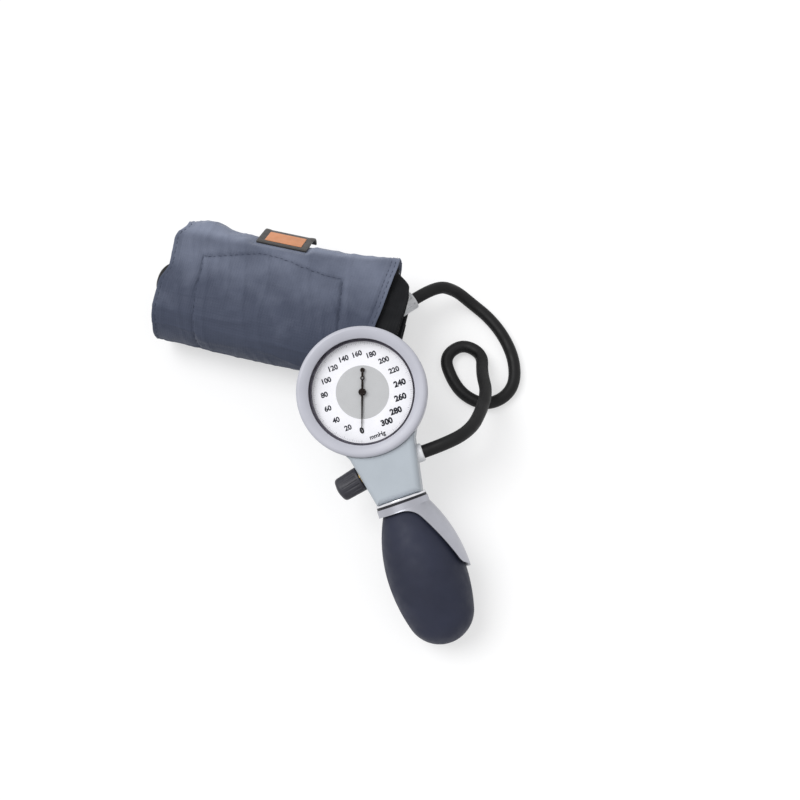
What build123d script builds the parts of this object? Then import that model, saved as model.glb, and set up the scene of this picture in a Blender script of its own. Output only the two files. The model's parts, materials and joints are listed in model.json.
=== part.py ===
"""Aneroid sphygmomanometer: a palm gauge with its bulb, hose and rolled arm cuff.

Millimetres, +Z up. The cuff lies along X with its open end at +X. The gauge lies in
front of it, its head propped on the cuff and its bulb on the ground at Z = 0.
"""

from build123d import *
import os
from math import asin, atan, atan2, cos, degrees, hypot, pi, radians, sin, sqrt, tan

os.makedirs("parts", exist_ok=True)

# How the gauge lies
gauge_tilt = 17.5  # dial plane out of level, about X
gauge_turn = 32.0  # handle turned in the dial plane, away from -Y
rest_gap = 0.3  # between the head's back and the cuff

# Gauge head, heights along the dial axis
head_radius = 33.5
head_wall = 2.1
head_back = 14.0
head_back_wall = 2.0
head_rim = 11.2
head_edge_round = 4.0
inner_radius = head_radius - head_wall
ledge_height = 6.0
ledge_width = 2.4
ledge_thick = 1.0
bezel_skirt = 1.5
bezel_radius = head_radius + bezel_skirt
bezel_skirt_gap = 0.3
bezel_skirt_end = 4.0
bezel_front = 14.0
lens_edge = 1.5  # room for the gasket round the lens
lens_radius = inner_radius - lens_edge
lens_bottom = 9.6
lens_fit = 0.1
bezel_lip = 1.4  # cover of the bezel over the lens
bezel_bore = lens_radius - bezel_lip
gasket_lip = 2.6
gasket_bore = lens_radius - gasket_lip
gasket_fit = 0.2
dial_thick = 0.6
dial_fit = 0.3
dial_hole = 1.4

# Pointer
pointer_length = 22.0
pointer_tail = 11.8
pointer_width = 1.1
pointer_eye_place = 7.5
pointer_eye_radius = 1.2
pointer_eye_hole = 0.55
pointer_dot_radius = 1.25
pointer_thick = 0.3
pointer_height = 7.6
pointer_zero = 20.0  # zero mark, left of six o'clock
hub_radius = 2.0
hub_cap = 1.0
hub_sleeve = 0.85

# Movement
base_plate_bottom = -3.4
base_plate_thick = 1.2
top_plate_bottom = 4.4
top_plate_thick = 0.8
plate_left = -20.0
plate_front = -12.4
plate_back = 12.4
plate_fit = 0.4
plate_circle = inner_radius - ledge_width - plate_fit
top_plate_left = -12.0
pillar_radius = 1.4
pillar_edge = 2.4  # from the plates' round edge
pillar_angle = radians(23.6)
pillar_x = (plate_circle - pillar_edge) * cos(pillar_angle)
pillar_y = (plate_circle - pillar_edge) * sin(pillar_angle)
pillar_places = [(-9.5, -9.0), (-9.5, 9.0), (pillar_x, -pillar_y), (pillar_x, pillar_y)]
screw_head_radius = 1.7
screw_head = 0.9
screw_shank_radius = 0.7
post_radius = 2.4
post_x = pillar_x - 5.0
post_y = pillar_y - 2.5
post_places = [(post_x, -post_y), (post_x, post_y), (-16.8, 5.0)]
movement_screw_reach = 4.0
pivot_radius = 0.4
pivot_fit = 0.05
gear_module = 0.4
pinion_teeth = 10
sector_ratio = 10
sector_sweep = 32.0
gear_bottom = 0.8
gear_thick = 1.0
pinion_bottom = 0.5
pinion_face = 1.7
tooth_share = 0.37  # tooth thickness over pitch, which leaves the backlash
tooth_tip_share = 0.14
tooth_root_share = 0.46
addendum_share = 0.85
dedendum_share = 1.2
sector_spare_teeth = 1
staff_radius = 0.6
arbor_radius = 0.5
sector_hub_radius = 1.8
sector_rim = 2.2
sector_arm = 1.6
tail_length = 2.6
tail_pin_radius = 0.5
tail_pin_top = 3.8
rocker_axis_y = -1.6
rocker_axis_z = -1.0
rocker_radius = 0.6
rocker_left = -9.2
rocker_end = 0.8  # past the tail pin
ear_places = [-8.6, 17.2]
ear_thick = 1.0
ear_width = 2.6
finger_width = 0.7
finger_top = 3.6
finger_gap = 0.05
lift_arm_reach = 5.5
lift_arm_width = 1.6
lift_arm_thick = 0.6
hairspring_turns = 4
hairspring_inner = 1.5
hairspring_pitch = 1.1
hairspring_thick = 0.25
hairspring_bottom = 3.0
hairspring_height = 0.6
collet_radius = 1.1
stud_radius = 0.6

# Capsule
capsule_x = -5.0
capsule_radius = 13.5
capsule_middle = -7.6
capsule_half = 2.6
capsule_wall = 0.5
capsule_wave = 0.5
capsule_waves = 4
capsule_boss = 2.6
post_rod_radius = 1.0
post_rod_fit = 0.05
post_rod_depth = 1.6
capsule_lift = 1.68
pipe_radius = 1.1
pipe_bore = 0.6
pipe_sink = 2.0

# Neck, with places down the handle from the dial centre
neck_top = head_radius - 9.5
neck_shoulder = head_radius - 1.5
neck_length = 26.5
neck_end = head_radius + neck_length
neck_half_top = 22.5
neck_half_shoulder = 18.2
neck_half_end = 12.5
neck_half_depth = 11.0
neck_wall = 1.8
neck_end_wall = 2.0
neck_edge_round = 3.4
neck_corner_round = 1.6
cover_gap = 0.2
boss_radius = 2.0
boss_places = [(13.0, head_radius + 1.3), (9.9, neck_end - 6.6)]
shell_screw_radius = 0.9
shell_screw_head_radius = 1.7
shell_screw_head = 1.2
shell_screw_grip = 6.0

# Air manifold
manifold_half = 7.6
manifold_top = head_radius + 2.7
manifold_front = 6.5
manifold_gap = 0.2
chamber_radius = 4.2
chamber_top = manifold_top + 7.8
passage_radius = 1.5
passage_top = manifold_top + 2.4
valve_boss_radius = 4.9
nipple_boss_radius = 3.8
filter_radius = 2.3
filter_thick = 1.0

# Bleed valve
valve_place = head_radius + 9.4
valve_tilt = 11.5
valve_reach = 11.5
valve_body_radius = 4.0
valve_nose = 1.4
valve_nose_radius = 4.4
stem_radius = 2.2
stem_fit = 0.08
stem_inner = 6.0
needle_radius = 1.4
needle_fit = 0.06
needle_tip_radius = 0.35
seat_bore = 0.8
seat_length = 1.6
oring_place = 1.2
oring_radius = 0.5
knob_start = 0.7
knob_length = 13.6
knob_base_radius = 6.9
knob_end_radius = 6.5
knob_end_round = 2.2
knob_dome = 0.8
knob_recess_radius = 5.0
knob_recess = 3.6
knob_flutes = 18
knob_flute_radius = 0.75
knob_bore = 9.0
valve_pitch = 0.75
valve_turns = 1.5

# Hose nipple
nipple_place = head_radius + 7.2
nipple_start = 2.0
nipple_shank_radius = 2.5
nipple_bore = 1.2
nipple_collar_radius = 5.0
nipple_collar_start = 13.0
nipple_end = 19.7
nipple_length = 8.0
nipple_radius = 2.1
nipple_barb = 0.25
wall_fit = 0.2

# Bulb coupler and check valves
plug_radius = 6.0
plug_top = neck_end - 10.0
tube_radius = 3.4
tube_bore = 2.2
flange_radius = 9.0
flange_top = neck_end - 3.4
coupler_fit = 0.1
web_end = neck_end + 0.5
spigot_radius = 8.2
spigot_wall = 1.8
spigot_end = neck_end + 19.0
web_radius = spigot_radius - spigot_wall + 0.6
seat_place = neck_end + 7.0
seat_thick = 1.2
seat_rim = 0.9
coupler_vents = 6
vent_radius = 0.7
disc_thick = 0.8
disc_lift = 0.8
disc_gap = 0.3
outlet_disc_radius = 3.2
inlet_disc_inner = 3.75
inlet_disc_outer = 6.1
retainer_thick = 1.0

# Collar, seal, spoon and bulb
collar_radius = 14.2
collar_thick = 1.4
seal_radius = 14.0
seal_thick = 1.2
spoon_plate = 1.4
spoon_thick = 1.2
spoon_skirt_end = neck_end + 6.6
spoon_gap = 1.3
spoon_float = 0.05  # running clearance on the seal
spoon_side = -30.0  # middle of the shield, round the handle from +x towards the back
# The shield's edge seen from its side: out from the axis, and down the handle
spoon_waist_out = -2.6
spoon_waist_round = 9.5
spoon_hip_out = 12.0
spoon_hip = neck_end + 41.5
spoon_hip_round = 6.5
spoon_end = neck_end + 48.0
bulb_start = neck_end + 4.4
bulb_mouth_radius = 11.9
bulb_shoulder = bulb_start + 1.6
bulb_swell_length = 37.0
bulb_middle = bulb_shoulder + bulb_swell_length
bulb_radius = 21.2
bulb_taper_length = 19.5
bulb_tail_centre = bulb_middle + bulb_taper_length
bulb_tail_radius = 18.5
bulb_wall = 2.2

# Arm cuff, rolled up. Insets are from the outer face of a turn.
roll_depth = 74.0
roll_height = 46.0
roll_pitch = 3.6
roll_turns = 3
cuff_width = 132.0
cuff_end = -2.7  # open end, from the dial centre
flap_start = 3.0
fabric_thick = 0.9
layer_gap = 0.1
bladder_thick = 1.2
bladder_skipped_turns = 1  # outer turns without the bladder
bladder_margin = 8.0
lining_thick = 0.9
lining_reach = 11.0
hook_thick = 0.25
hook_length = 20.0
hook_width = 96.0
patch_size = 30.0
patch_thick = 0.7
patch_start = 28.0  # degrees round the back of the roll, from its top
patch_left = -84.0  # from the dial centre
stripe_length = 16.0
stripe_angle = 16.0
stripe_thick = 0.3

# Hose, cuff tube and the coupling between them
hose_diameter = 7.2
hose_bore = 2.15
hose_bore_depth = 8.6
coupling_radius = 5.2
coupling_flange = 2.0
coupling_sleeve = 13.0
coupling_sleeve_bore = 4.05
coupling_fit = 0.1
taper_start_radius = 2.1
taper_end_radius = 1.9
taper_end = 17.0
coupling_length = 24.0
coupling_out = 13.56  # start of the coupling, from the cuff's open end
coupling_back = 5.19
coupling_rise = 8.5
coupling_grips = 8
grip_radius = 0.7
port_flange_radius = 9.0
port_flange = 1.2
port_body_radius = 4.4

# The gauge's own plane: x to its right, y up the handle to the head, z out of the dial
roll_radius = roll_height / 2
lean = asin(cos(radians(gauge_turn)) * sin(radians(gauge_tilt)))
bulb_side_arc = ((bulb_tail_centre - bulb_middle) ** 2 - bulb_tail_radius**2 + bulb_radius**2) / (
    2 * (bulb_radius - bulb_tail_radius)
)
gauge_height = bulb_side_arc - (bulb_side_arc - bulb_radius) * cos(lean) + bulb_middle * sin(lean)
tilt = radians(gauge_tilt)
turn = radians(gauge_turn)
x_axis = Vector(cos(turn), sin(turn) * cos(tilt), sin(turn) * sin(tilt))
y_axis = Vector(-sin(turn), cos(turn) * cos(tilt), cos(turn) * sin(tilt))
z_axis = Vector(0, -sin(tilt), cos(tilt))

# The cuff's front edge meets the head's back, this far up its slope from the centre
rest_slope = (roll_radius + (roll_radius + rest_gap + head_back) * cos(tilt) - gauge_height) / sin(tilt)
front_from_dial = (
    head_back * sin(tilt) + rest_slope * cos(tilt) + (roll_radius + rest_gap) * sin(tilt)
)
roll_straight = roll_depth - roll_height

# The origin is the middle of the ground that the gauge and the cuff cover
tail_point = y_axis * -bulb_tail_centre
reach_right = tail_point.X + bulb_tail_radius
reach_left = cuff_end - cuff_width
reach_front = tail_point.Y - bulb_tail_radius
back_radius = roll_radius - roll_pitch / 2
patch_inner = back_radius + pivot_fit
reach_back = front_from_dial + roll_straight + patch_inner + patch_thick
dial_x = -(reach_right + reach_left) / 2
dial_y = -(reach_front + reach_back) / 2
gauge = Plane(origin=(dial_x, dial_y, gauge_height), x_dir=x_axis, z_dir=z_axis)
dial_axis = Axis(gauge.origin, gauge.z_dir)
handle_axis = Axis(gauge.origin, gauge.y_dir)
dial_section = Plane(origin=gauge.origin, x_dir=gauge.x_dir, z_dir=-gauge.y_dir)

roll_front = dial_y + front_from_dial
roll_back = roll_front + roll_straight
roll_right = dial_x + cuff_end
roll_left = roll_right - cuff_width

# Planes across the small parts, with x along each one's axis
slope = atan((neck_half_shoulder - neck_half_end) / (neck_end - neck_shoulder))


def neck_half(place):
    """Half width of the neck at a distance down the handle."""
    return neck_half_shoulder - (place - neck_shoulder) * tan(slope)


valve_angle = radians(valve_tilt)
valve_out = gauge.x_dir * -cos(valve_angle) + gauge.y_dir * -sin(valve_angle)
valve_origin = gauge.from_local_coords((-neck_half(valve_place), -valve_place, 0))
valve_section = Plane(origin=valve_origin, x_dir=valve_out, z_dir=gauge.z_dir)
valve_axis = Axis(valve_origin, valve_out)
nipple_origin = gauge.from_local_coords((0, -nipple_place, 0))
nipple_section = Plane(origin=nipple_origin, x_dir=gauge.x_dir, z_dir=gauge.z_dir)
nipple_axis = Axis(nipple_origin, gauge.x_dir)
capsule_y = rocker_axis_y - lift_arm_reach
capsule_origin = gauge.from_local_coords((capsule_x, capsule_y, 0))
capsule_section = Plane(origin=capsule_origin, x_dir=gauge.x_dir, z_dir=-gauge.y_dir)
capsule_axis = Axis(capsule_origin, gauge.z_dir)

base_plate_top = base_plate_bottom + base_plate_thick
pointer_top = pointer_height + pointer_thick
parts = []


def finish(part, label):
    """Name a finished piece and keep it for export."""
    part.label = label
    parts.append(part)


def bar(near, far, inner, outer):
    """A rectangle in a section sketch, from its four limits."""
    with Locations(((near + far) / 2, (inner + outer) / 2)):
        Rectangle(abs(far - near), abs(outer - inner))


# Head and neck shells


def neck_outline():
    """Corners of the neck seen from the front."""
    return [
        (-neck_half_top, -neck_top),
        (-neck_half_shoulder, -neck_shoulder),
        (-neck_half_end, -neck_end),
        (neck_half_end, -neck_end),
        (neck_half_shoulder, -neck_shoulder),
        (neck_half_top, -neck_top),
    ]


def inner_outline():
    """Corners of the hollow inside the neck."""
    half_top = neck_half(head_radius + 0.5) - neck_wall
    half_end = neck_half(neck_end - neck_end_wall) - neck_wall
    top = -(head_radius + 0.5)
    end = -(neck_end - neck_end_wall)
    return [(-half_top, top), (-half_end, end), (half_end, end), (half_top, top)]


def cut_side_holes():
    """Holes through the neck for the valve, the nipple and the coupler."""
    with BuildSketch(valve_section) as valve_hole:
        bar(-valve_reach, valve_reach, 0, valve_body_radius + wall_fit)
    revolve(valve_hole.sketch, valve_axis, mode=Mode.SUBTRACT)
    with BuildSketch(nipple_section) as nipple_hole:
        bar(nipple_collar_start - 1, neck_half_top + 2, 0, nipple_collar_radius + wall_fit)
    revolve(nipple_hole.sketch, nipple_axis, mode=Mode.SUBTRACT)
    with BuildSketch(gauge) as coupler_hole:
        bar(0, web_radius + coupler_fit, -(neck_end + 1), -(neck_end - neck_end_wall - 1))
    revolve(coupler_hole.sketch, handle_axis, mode=Mode.SUBTRACT)


boss_points = [(side * x, -place) for x, place in boss_places for side in (-1, 1)]
shell_boss_top = base_plate_bottom

with BuildPart() as rear_shell:
    with BuildSketch(gauge):
        with BuildLine():
            Polyline(*neck_outline(), close=True)
        make_face()
    extrude(amount=-neck_half_depth)
    back_edges = rear_shell.faces().sort_by(Axis(gauge.origin, gauge.z_dir))[0].edges()
    side_back_edges = back_edges.sort_by(handle_axis)[:-1]
    fillet(side_back_edges, neck_edge_round)
    with BuildSketch(gauge.offset(-(neck_half_depth - neck_wall))):
        with BuildLine():
            Polyline(*inner_outline(), close=True)
        make_face()
    extrude(amount=neck_half_depth - neck_wall, mode=Mode.SUBTRACT)
    with BuildSketch(dial_section):
        with BuildLine():
            Polyline(
                (0, -head_back),
                (head_radius - head_edge_round, -head_back),
            )
            RadiusArc(
                (head_radius - head_edge_round, -head_back),
                (head_radius, -head_back + head_edge_round),
                -head_edge_round,
            )
            Polyline(
                (head_radius, -head_back + head_edge_round),
                (head_radius, head_rim),
                (0, head_rim),
                (0, -head_back),
            )
        make_face()
    revolve(axis=dial_axis)
    with BuildSketch(dial_section):
        with BuildLine():
            Polyline(
                (0, -head_back + head_back_wall),
                (inner_radius, -head_back + head_back_wall),
                (inner_radius, ledge_height - ledge_thick - ledge_width),
                (inner_radius - ledge_width, ledge_height - ledge_thick),
                (inner_radius - ledge_width, ledge_height),
                (inner_radius, ledge_height),
                (inner_radius, head_rim + 1),
                (0, head_rim + 1),
                close=True,
            )
        make_face()
    revolve(axis=dial_axis, mode=Mode.SUBTRACT)
    with BuildSketch(gauge.offset(-head_back + head_back_wall)):
        with Locations(*post_places):
            Circle(post_radius)
    extrude(amount=head_back - head_back_wall + base_plate_bottom)
    with BuildSketch(gauge.offset(base_plate_bottom)):
        with Locations(*post_places):
            Circle(screw_shank_radius)
    extrude(amount=-movement_screw_reach, mode=Mode.SUBTRACT)
    with BuildSketch(gauge.offset(-(neck_half_depth - neck_wall))):
        with Locations(*boss_points):
            Circle(boss_radius)
    extrude(amount=neck_half_depth - neck_wall - cover_gap / 2)
    with BuildSketch(gauge.offset(-neck_half_depth)):
        with Locations(*boss_points):
            Circle(shell_screw_radius)
    extrude(amount=neck_half_depth, mode=Mode.SUBTRACT)
    with BuildSketch(gauge.offset(-neck_half_depth)):
        with Locations(*boss_points):
            Circle(shell_screw_head_radius + pivot_fit)
    extrude(amount=shell_screw_head, mode=Mode.SUBTRACT)
    pipe_section = Plane(
        origin=gauge.from_local_coords((capsule_x, 0, capsule_middle)),
        x_dir=gauge.x_dir,
        z_dir=gauge.z_dir,
    )
    pipe_axis = Axis(pipe_section.origin, gauge.y_dir)
    with BuildSketch(pipe_section):
        bar(0, pipe_radius + pivot_fit, -(head_radius + 1), -(inner_radius - 4))
    revolve(axis=pipe_axis, mode=Mode.SUBTRACT)
    cut_side_holes()
finish(rear_shell.part, "rear_shell")

with BuildPart() as neck_cover:
    with BuildSketch(gauge.offset(cover_gap / 2)):
        with BuildLine():
            Polyline(*neck_outline(), close=True)
        make_face()
    extrude(amount=neck_half_depth - cover_gap / 2)
    front_edges = neck_cover.faces().sort_by(Axis(gauge.origin, gauge.z_dir))[-1].edges()
    side_front_edges = front_edges.sort_by(handle_axis)[:-1]
    fillet(side_front_edges, neck_edge_round)
    with BuildSketch(gauge):
        with BuildLine():
            Polyline(*inner_outline(), close=True)
        make_face()
    extrude(amount=neck_half_depth - neck_wall, mode=Mode.SUBTRACT)
    with BuildSketch(dial_section):
        bar(0, head_radius + wall_fit, -1, bezel_skirt_end)
        bar(0, bezel_radius + wall_fit, bezel_skirt_end - wall_fit, neck_half_depth + 1)
    revolve(axis=dial_axis, mode=Mode.SUBTRACT)
    with BuildSketch(gauge.offset(cover_gap / 2)):
        with Locations(*boss_points):
            Circle(boss_radius)
    extrude(amount=neck_half_depth - neck_wall - cover_gap / 2)
    with BuildSketch(gauge.offset(cover_gap / 2)):
        with Locations(*boss_points):
            Circle(shell_screw_radius)
    extrude(amount=shell_screw_grip, mode=Mode.SUBTRACT)
    cut_side_holes()
finish(neck_cover.part, "neck_cover")

with BuildPart() as shell_screws:
    with BuildSketch(gauge.offset(-neck_half_depth)):
        with Locations(*boss_points):
            Circle(shell_screw_head_radius)
    extrude(amount=shell_screw_head)
    with BuildSketch(gauge.offset(-neck_half_depth)):
        with Locations(*boss_points):
            Circle(shell_screw_radius - pivot_fit)
    extrude(amount=neck_half_depth + shell_screw_grip - cover_gap)
    with BuildSketch(gauge.offset(-neck_half_depth)):
        with Locations(*boss_points):
            Rectangle(shell_screw_head_radius * 1.5, 0.4)
            Rectangle(0.4, shell_screw_head_radius * 1.5)
    extrude(amount=shell_screw_head / 2, mode=Mode.SUBTRACT)
finish(shell_screws.part, "shell_screws")

# Bezel, lens, gasket and dial

with BuildPart() as bezel_ring:
    with BuildSketch(dial_section):
        with BuildLine():
            Line((bezel_bore, head_rim), (bezel_bore, bezel_front - 1.6))
            ThreePointArc(
                (bezel_bore, bezel_front - 1.6),
                (bezel_bore + 2.2, bezel_front - 0.4),
                (bezel_bore + 4.6, bezel_front),
            )
            ThreePointArc(
                (bezel_bore + 4.6, bezel_front),
                (bezel_radius - 0.5, bezel_front - 0.7),
                (bezel_radius, bezel_front - 2),
            )
            Polyline(
                (bezel_radius, bezel_front - 2),
                (bezel_radius, bezel_skirt_end),
                (head_radius + bezel_skirt_gap, bezel_skirt_end),
                (head_radius + bezel_skirt_gap, head_rim),
                (bezel_bore, head_rim),
            )
        make_face()
    revolve(axis=dial_axis)
finish(bezel_ring.part, "bezel_ring")

with BuildPart() as lens:
    with BuildSketch(dial_section):
        bar(0, lens_radius, lens_bottom, head_rim)
    revolve(axis=dial_axis)
finish(lens.part, "lens")

dial_top = ledge_height + dial_thick
with BuildPart() as lens_gasket:
    with BuildSketch(dial_section):
        bar(gasket_bore, inner_radius - gasket_fit, dial_top, lens_bottom)
        bar(lens_radius + lens_fit, inner_radius - gasket_fit, lens_bottom, head_rim)
    revolve(axis=dial_axis)
finish(lens_gasket.part, "lens_gasket")

with BuildPart() as dial_plate:
    with BuildSketch(dial_section):
        bar(dial_hole, inner_radius - dial_fit, ledge_height, dial_top)
    revolve(axis=dial_axis)
finish(dial_plate.part, "dial_plate")

# Pointer, pointing to zero

zero = radians(pointer_zero)
pointer_plane = Plane(
    origin=gauge.from_local_coords((0, 0, pointer_height)),
    x_dir=gauge.x_dir * -cos(zero) + gauge.y_dir * sin(zero),
    z_dir=gauge.z_dir,
)
with BuildPart() as pointer:
    with BuildSketch(pointer_plane):
        with BuildLine():
            Polyline(
                (-pointer_width / 2, -pointer_tail),
                (-pointer_width / 2, 2),
                (-0.15, pointer_length),
                (0.15, pointer_length),
                (pointer_width / 2, 2),
                (pointer_width / 2, -pointer_tail),
                close=True,
            )
        make_face()
        Circle(hub_radius)
        with Locations((0, -pointer_tail)):
            Circle(pointer_dot_radius)
        with Locations((0, -pointer_eye_place)):
            Circle(pointer_eye_radius)
            Circle(pointer_eye_hole, mode=Mode.SUBTRACT)
        Circle(hub_sleeve + pivot_fit, mode=Mode.SUBTRACT)
    extrude(amount=pointer_thick)
finish(pointer.part, "pointer")

with BuildPart() as pointer_hub:
    with BuildSketch(dial_section):
        bar(0, hub_radius, pointer_top, pointer_top + hub_cap)
        bar(0, hub_sleeve, pointer_height - 0.6, pointer_top)
        bar(0, hub_radius * 0.8, pointer_height - 0.6, pointer_height)
    revolve(axis=dial_axis)
    with BuildSketch(gauge.offset(pointer_height - 0.6)):
        Circle(pivot_radius + 0.02)
    extrude(amount=0.8, mode=Mode.SUBTRACT)
    fillet(pointer_hub.edges().sort_by(dial_axis)[-1], hub_cap / 2)
finish(pointer_hub.part, "pointer_hub")

# Movement

pinion_radius = gear_module * pinion_teeth / 2
sector_radius = pinion_radius * sector_ratio
sector_x = pinion_radius + sector_radius
pitch_arc = pi * gear_module
addendum = addendum_share * gear_module
dedendum = dedendum_share * gear_module


def tooth_points(radius, angle):
    """Corners of one tooth on a pitch circle, pointing along an angle."""
    root = radius - dedendum * 1.3
    rows = [(root, tooth_root_share), (radius, tooth_share), (radius + addendum, tooth_tip_share)]
    corners = [(r, -share * pitch_arc / 2) for r, share in rows]
    corners += [(r, share * pitch_arc / 2) for r, share in reversed(rows)]
    aim = radians(angle)
    return [(x * cos(aim) - y * sin(aim), x * sin(aim) + y * cos(aim)) for x, y in corners]


with BuildPart() as pinion_arbor:
    with BuildSketch(dial_section):
        bar(0, pivot_radius, base_plate_bottom, pointer_height - 0.1)
        bar(0, arbor_radius, base_plate_top, top_plate_bottom - pivot_fit)
        bar(0, collet_radius, hairspring_bottom, hairspring_bottom + hairspring_height)
    revolve(axis=dial_axis)
    with BuildSketch(gauge.offset(pinion_bottom)):
        Circle(pinion_radius - dedendum)
        for tooth in range(pinion_teeth):
            with BuildLine():
                Polyline(*tooth_points(pinion_radius, 360 / pinion_teeth * (tooth + 0.5)), close=True)
            make_face()
    extrude(amount=pinion_face)
finish(pinion_arbor.part, "pinion_arbor")

tooth_step = 360 / (pinion_teeth * sector_ratio)
working_teeth = int(sector_sweep / tooth_step) + 1
sector_teeth = working_teeth + 2 * sector_spare_teeth
tooth_angles = [180 + tooth_step * (sector_spare_teeth - i) for i in range(sector_teeth)]
sector_from = min(tooth_angles) - tooth_step / 2
sector_to = max(tooth_angles) + tooth_step / 2
sector_root = sector_radius - dedendum


def polar(radius, angle):
    """A point at a radius and an angle in degrees."""
    return (radius * cos(radians(angle)), radius * sin(radians(angle)))


def ring_sector(inner, outer, start, end):
    """Draw the outline between two radii and two angles."""
    middle = (start + end) / 2
    ThreePointArc(polar(outer, start), polar(outer, middle), polar(outer, end))
    Line(polar(outer, end), polar(inner, end))
    ThreePointArc(polar(inner, end), polar(inner, middle), polar(inner, start))
    Line(polar(inner, start), polar(outer, start))


sector_plane = Plane(
    origin=gauge.from_local_coords((sector_x, 0, gear_bottom)), x_dir=gauge.x_dir, z_dir=gauge.z_dir
)
sector_section = Plane(
    origin=gauge.from_local_coords((sector_x, 0, 0)), x_dir=gauge.x_dir, z_dir=-gauge.y_dir
)
sector_axis = Axis(sector_section.origin, gauge.z_dir)
with BuildPart() as sector_gear:
    with BuildSketch(sector_plane):
        with BuildLine():
            ring_sector(sector_root - sector_rim, sector_root, sector_from, sector_to)
        make_face()
        for angle in tooth_angles:
            with BuildLine():
                Polyline(*tooth_points(sector_radius, angle), close=True)
            make_face()
        for angle in (sector_from + 5, sector_to - 5):
            with PolarLocations(sector_root / 2, 1, start_angle=angle):
                Rectangle(sector_root - 1, sector_arm)
        Circle(sector_hub_radius)
        with Locations((tail_length / 2, 0)):
            Rectangle(tail_length, 2 * tail_pin_radius)
        with Locations((tail_length, 0)):
            Circle(tail_pin_radius)
    extrude(amount=gear_thick)
    with BuildSketch(sector_plane):
        with Locations((tail_length, 0)):
            Circle(tail_pin_radius)
    extrude(amount=tail_pin_top - gear_bottom)
    with BuildSketch(sector_section):
        bar(0, staff_radius, base_plate_top + pivot_fit, top_plate_bottom - pivot_fit)
        bar(0, pivot_radius, base_plate_bottom, top_plate_bottom + top_plate_thick)
    revolve(axis=sector_axis)
finish(sector_gear.part, "sector_gear")


def plate_outline(left, circle):
    """The movement plates: a bar trimmed to the inside of the head."""
    with Locations(((left + circle) / 2, (plate_front + plate_back) / 2)):
        Rectangle(circle - left, plate_back - plate_front)
    Circle(circle, mode=Mode.INTERSECT)


with BuildPart() as movement_base_plate:
    with BuildSketch(gauge.offset(base_plate_bottom)):
        plate_outline(plate_left, plate_circle)
        with Locations((0, 0), (sector_x, 0)):
            Circle(pivot_radius + pivot_fit, mode=Mode.SUBTRACT)
        with Locations((capsule_x, capsule_y)):
            Circle(post_rod_radius * 1.6, mode=Mode.SUBTRACT)
        with Locations(*post_places):
            Circle(screw_shank_radius + pivot_fit, mode=Mode.SUBTRACT)
    extrude(amount=base_plate_thick)
    with BuildSketch(gauge.offset(base_plate_top)):
        with Locations(*[(x, rocker_axis_y) for x in ear_places]):
            Rectangle(ear_thick, ear_width)
    extrude(amount=rocker_axis_z + ear_width / 2 - base_plate_top)
    rocker_section = Plane(
        origin=gauge.from_local_coords((0, rocker_axis_y, rocker_axis_z)),
        x_dir=gauge.x_dir,
        z_dir=gauge.z_dir,
    )
    rocker_axis = Axis(rocker_section.origin, gauge.x_dir)
    with BuildSketch(rocker_section):
        bar(rocker_left - 1, sector_x, 0, rocker_radius + pivot_fit)
    revolve(axis=rocker_axis, mode=Mode.SUBTRACT)
finish(movement_base_plate.part, "movement_base_plate")

with BuildPart() as movement_top_plate:
    with BuildSketch(gauge.offset(top_plate_bottom)):
        plate_outline(top_plate_left, plate_circle)
        with Locations((0, 0), (sector_x, 0)):
            Circle(pivot_radius + pivot_fit, mode=Mode.SUBTRACT)
        with Locations(*pillar_places):
            Circle(screw_shank_radius + pivot_fit, mode=Mode.SUBTRACT)
    extrude(amount=top_plate_thick)
finish(movement_top_plate.part, "movement_top_plate")

with BuildPart() as movement_pillars:
    with BuildSketch(gauge.offset(base_plate_top)):
        with Locations(*pillar_places):
            Circle(pillar_radius)
    extrude(amount=top_plate_bottom - base_plate_top)
    with BuildSketch(gauge.offset(top_plate_bottom)):
        with Locations(*pillar_places):
            Circle(screw_shank_radius)
    extrude(amount=-movement_screw_reach, mode=Mode.SUBTRACT)
finish(movement_pillars.part, "movement_pillars")


def slotted_screws(places, seat, reach, head):
    """Cheese-head screws standing on a height, with a driver slot."""
    with BuildSketch(gauge.offset(seat)) as heads:
        with Locations(*places):
            Circle(screw_head_radius)
    extrude(heads.sketch, amount=head)
    with BuildSketch(gauge.offset(seat)) as shanks:
        with Locations(*places):
            Circle(screw_shank_radius - pivot_fit)
    extrude(shanks.sketch, amount=-reach)
    with BuildSketch(gauge.offset(seat + head)) as slots:
        with Locations(*places):
            Rectangle(screw_head_radius * 2.2, 0.4)
    extrude(slots.sketch, amount=-head / 2, mode=Mode.SUBTRACT)


top_plate_top = top_plate_bottom + top_plate_thick
with BuildPart() as plate_screws:
    slotted_screws(
        pillar_places,
        top_plate_top,
        movement_screw_reach + top_plate_thick - 0.2,
        ledge_height - top_plate_top - 0.2,
    )
finish(plate_screws.part, "plate_screws")

with BuildPart() as movement_screws:
    slotted_screws(post_places, base_plate_top, base_plate_thick + movement_screw_reach - 0.2, screw_head)
finish(movement_screws.part, "movement_screws")

with BuildPart() as rocker_shaft:
    with BuildSketch(rocker_section):
        bar(rocker_left, sector_x + tail_length + rocker_end, 0, rocker_radius)
    revolve(axis=rocker_axis)
    finger_face = -tail_pin_radius - finger_gap
    with BuildSketch(gauge.offset(rocker_axis_z)):
        with Locations((sector_x + tail_length, (rocker_axis_y - rocker_radius + finger_face) / 2)):
            Rectangle(finger_width, finger_face - rocker_axis_y + rocker_radius)
    extrude(amount=finger_top - rocker_axis_z)
finish(rocker_shaft.part, "rocker_shaft")

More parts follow.
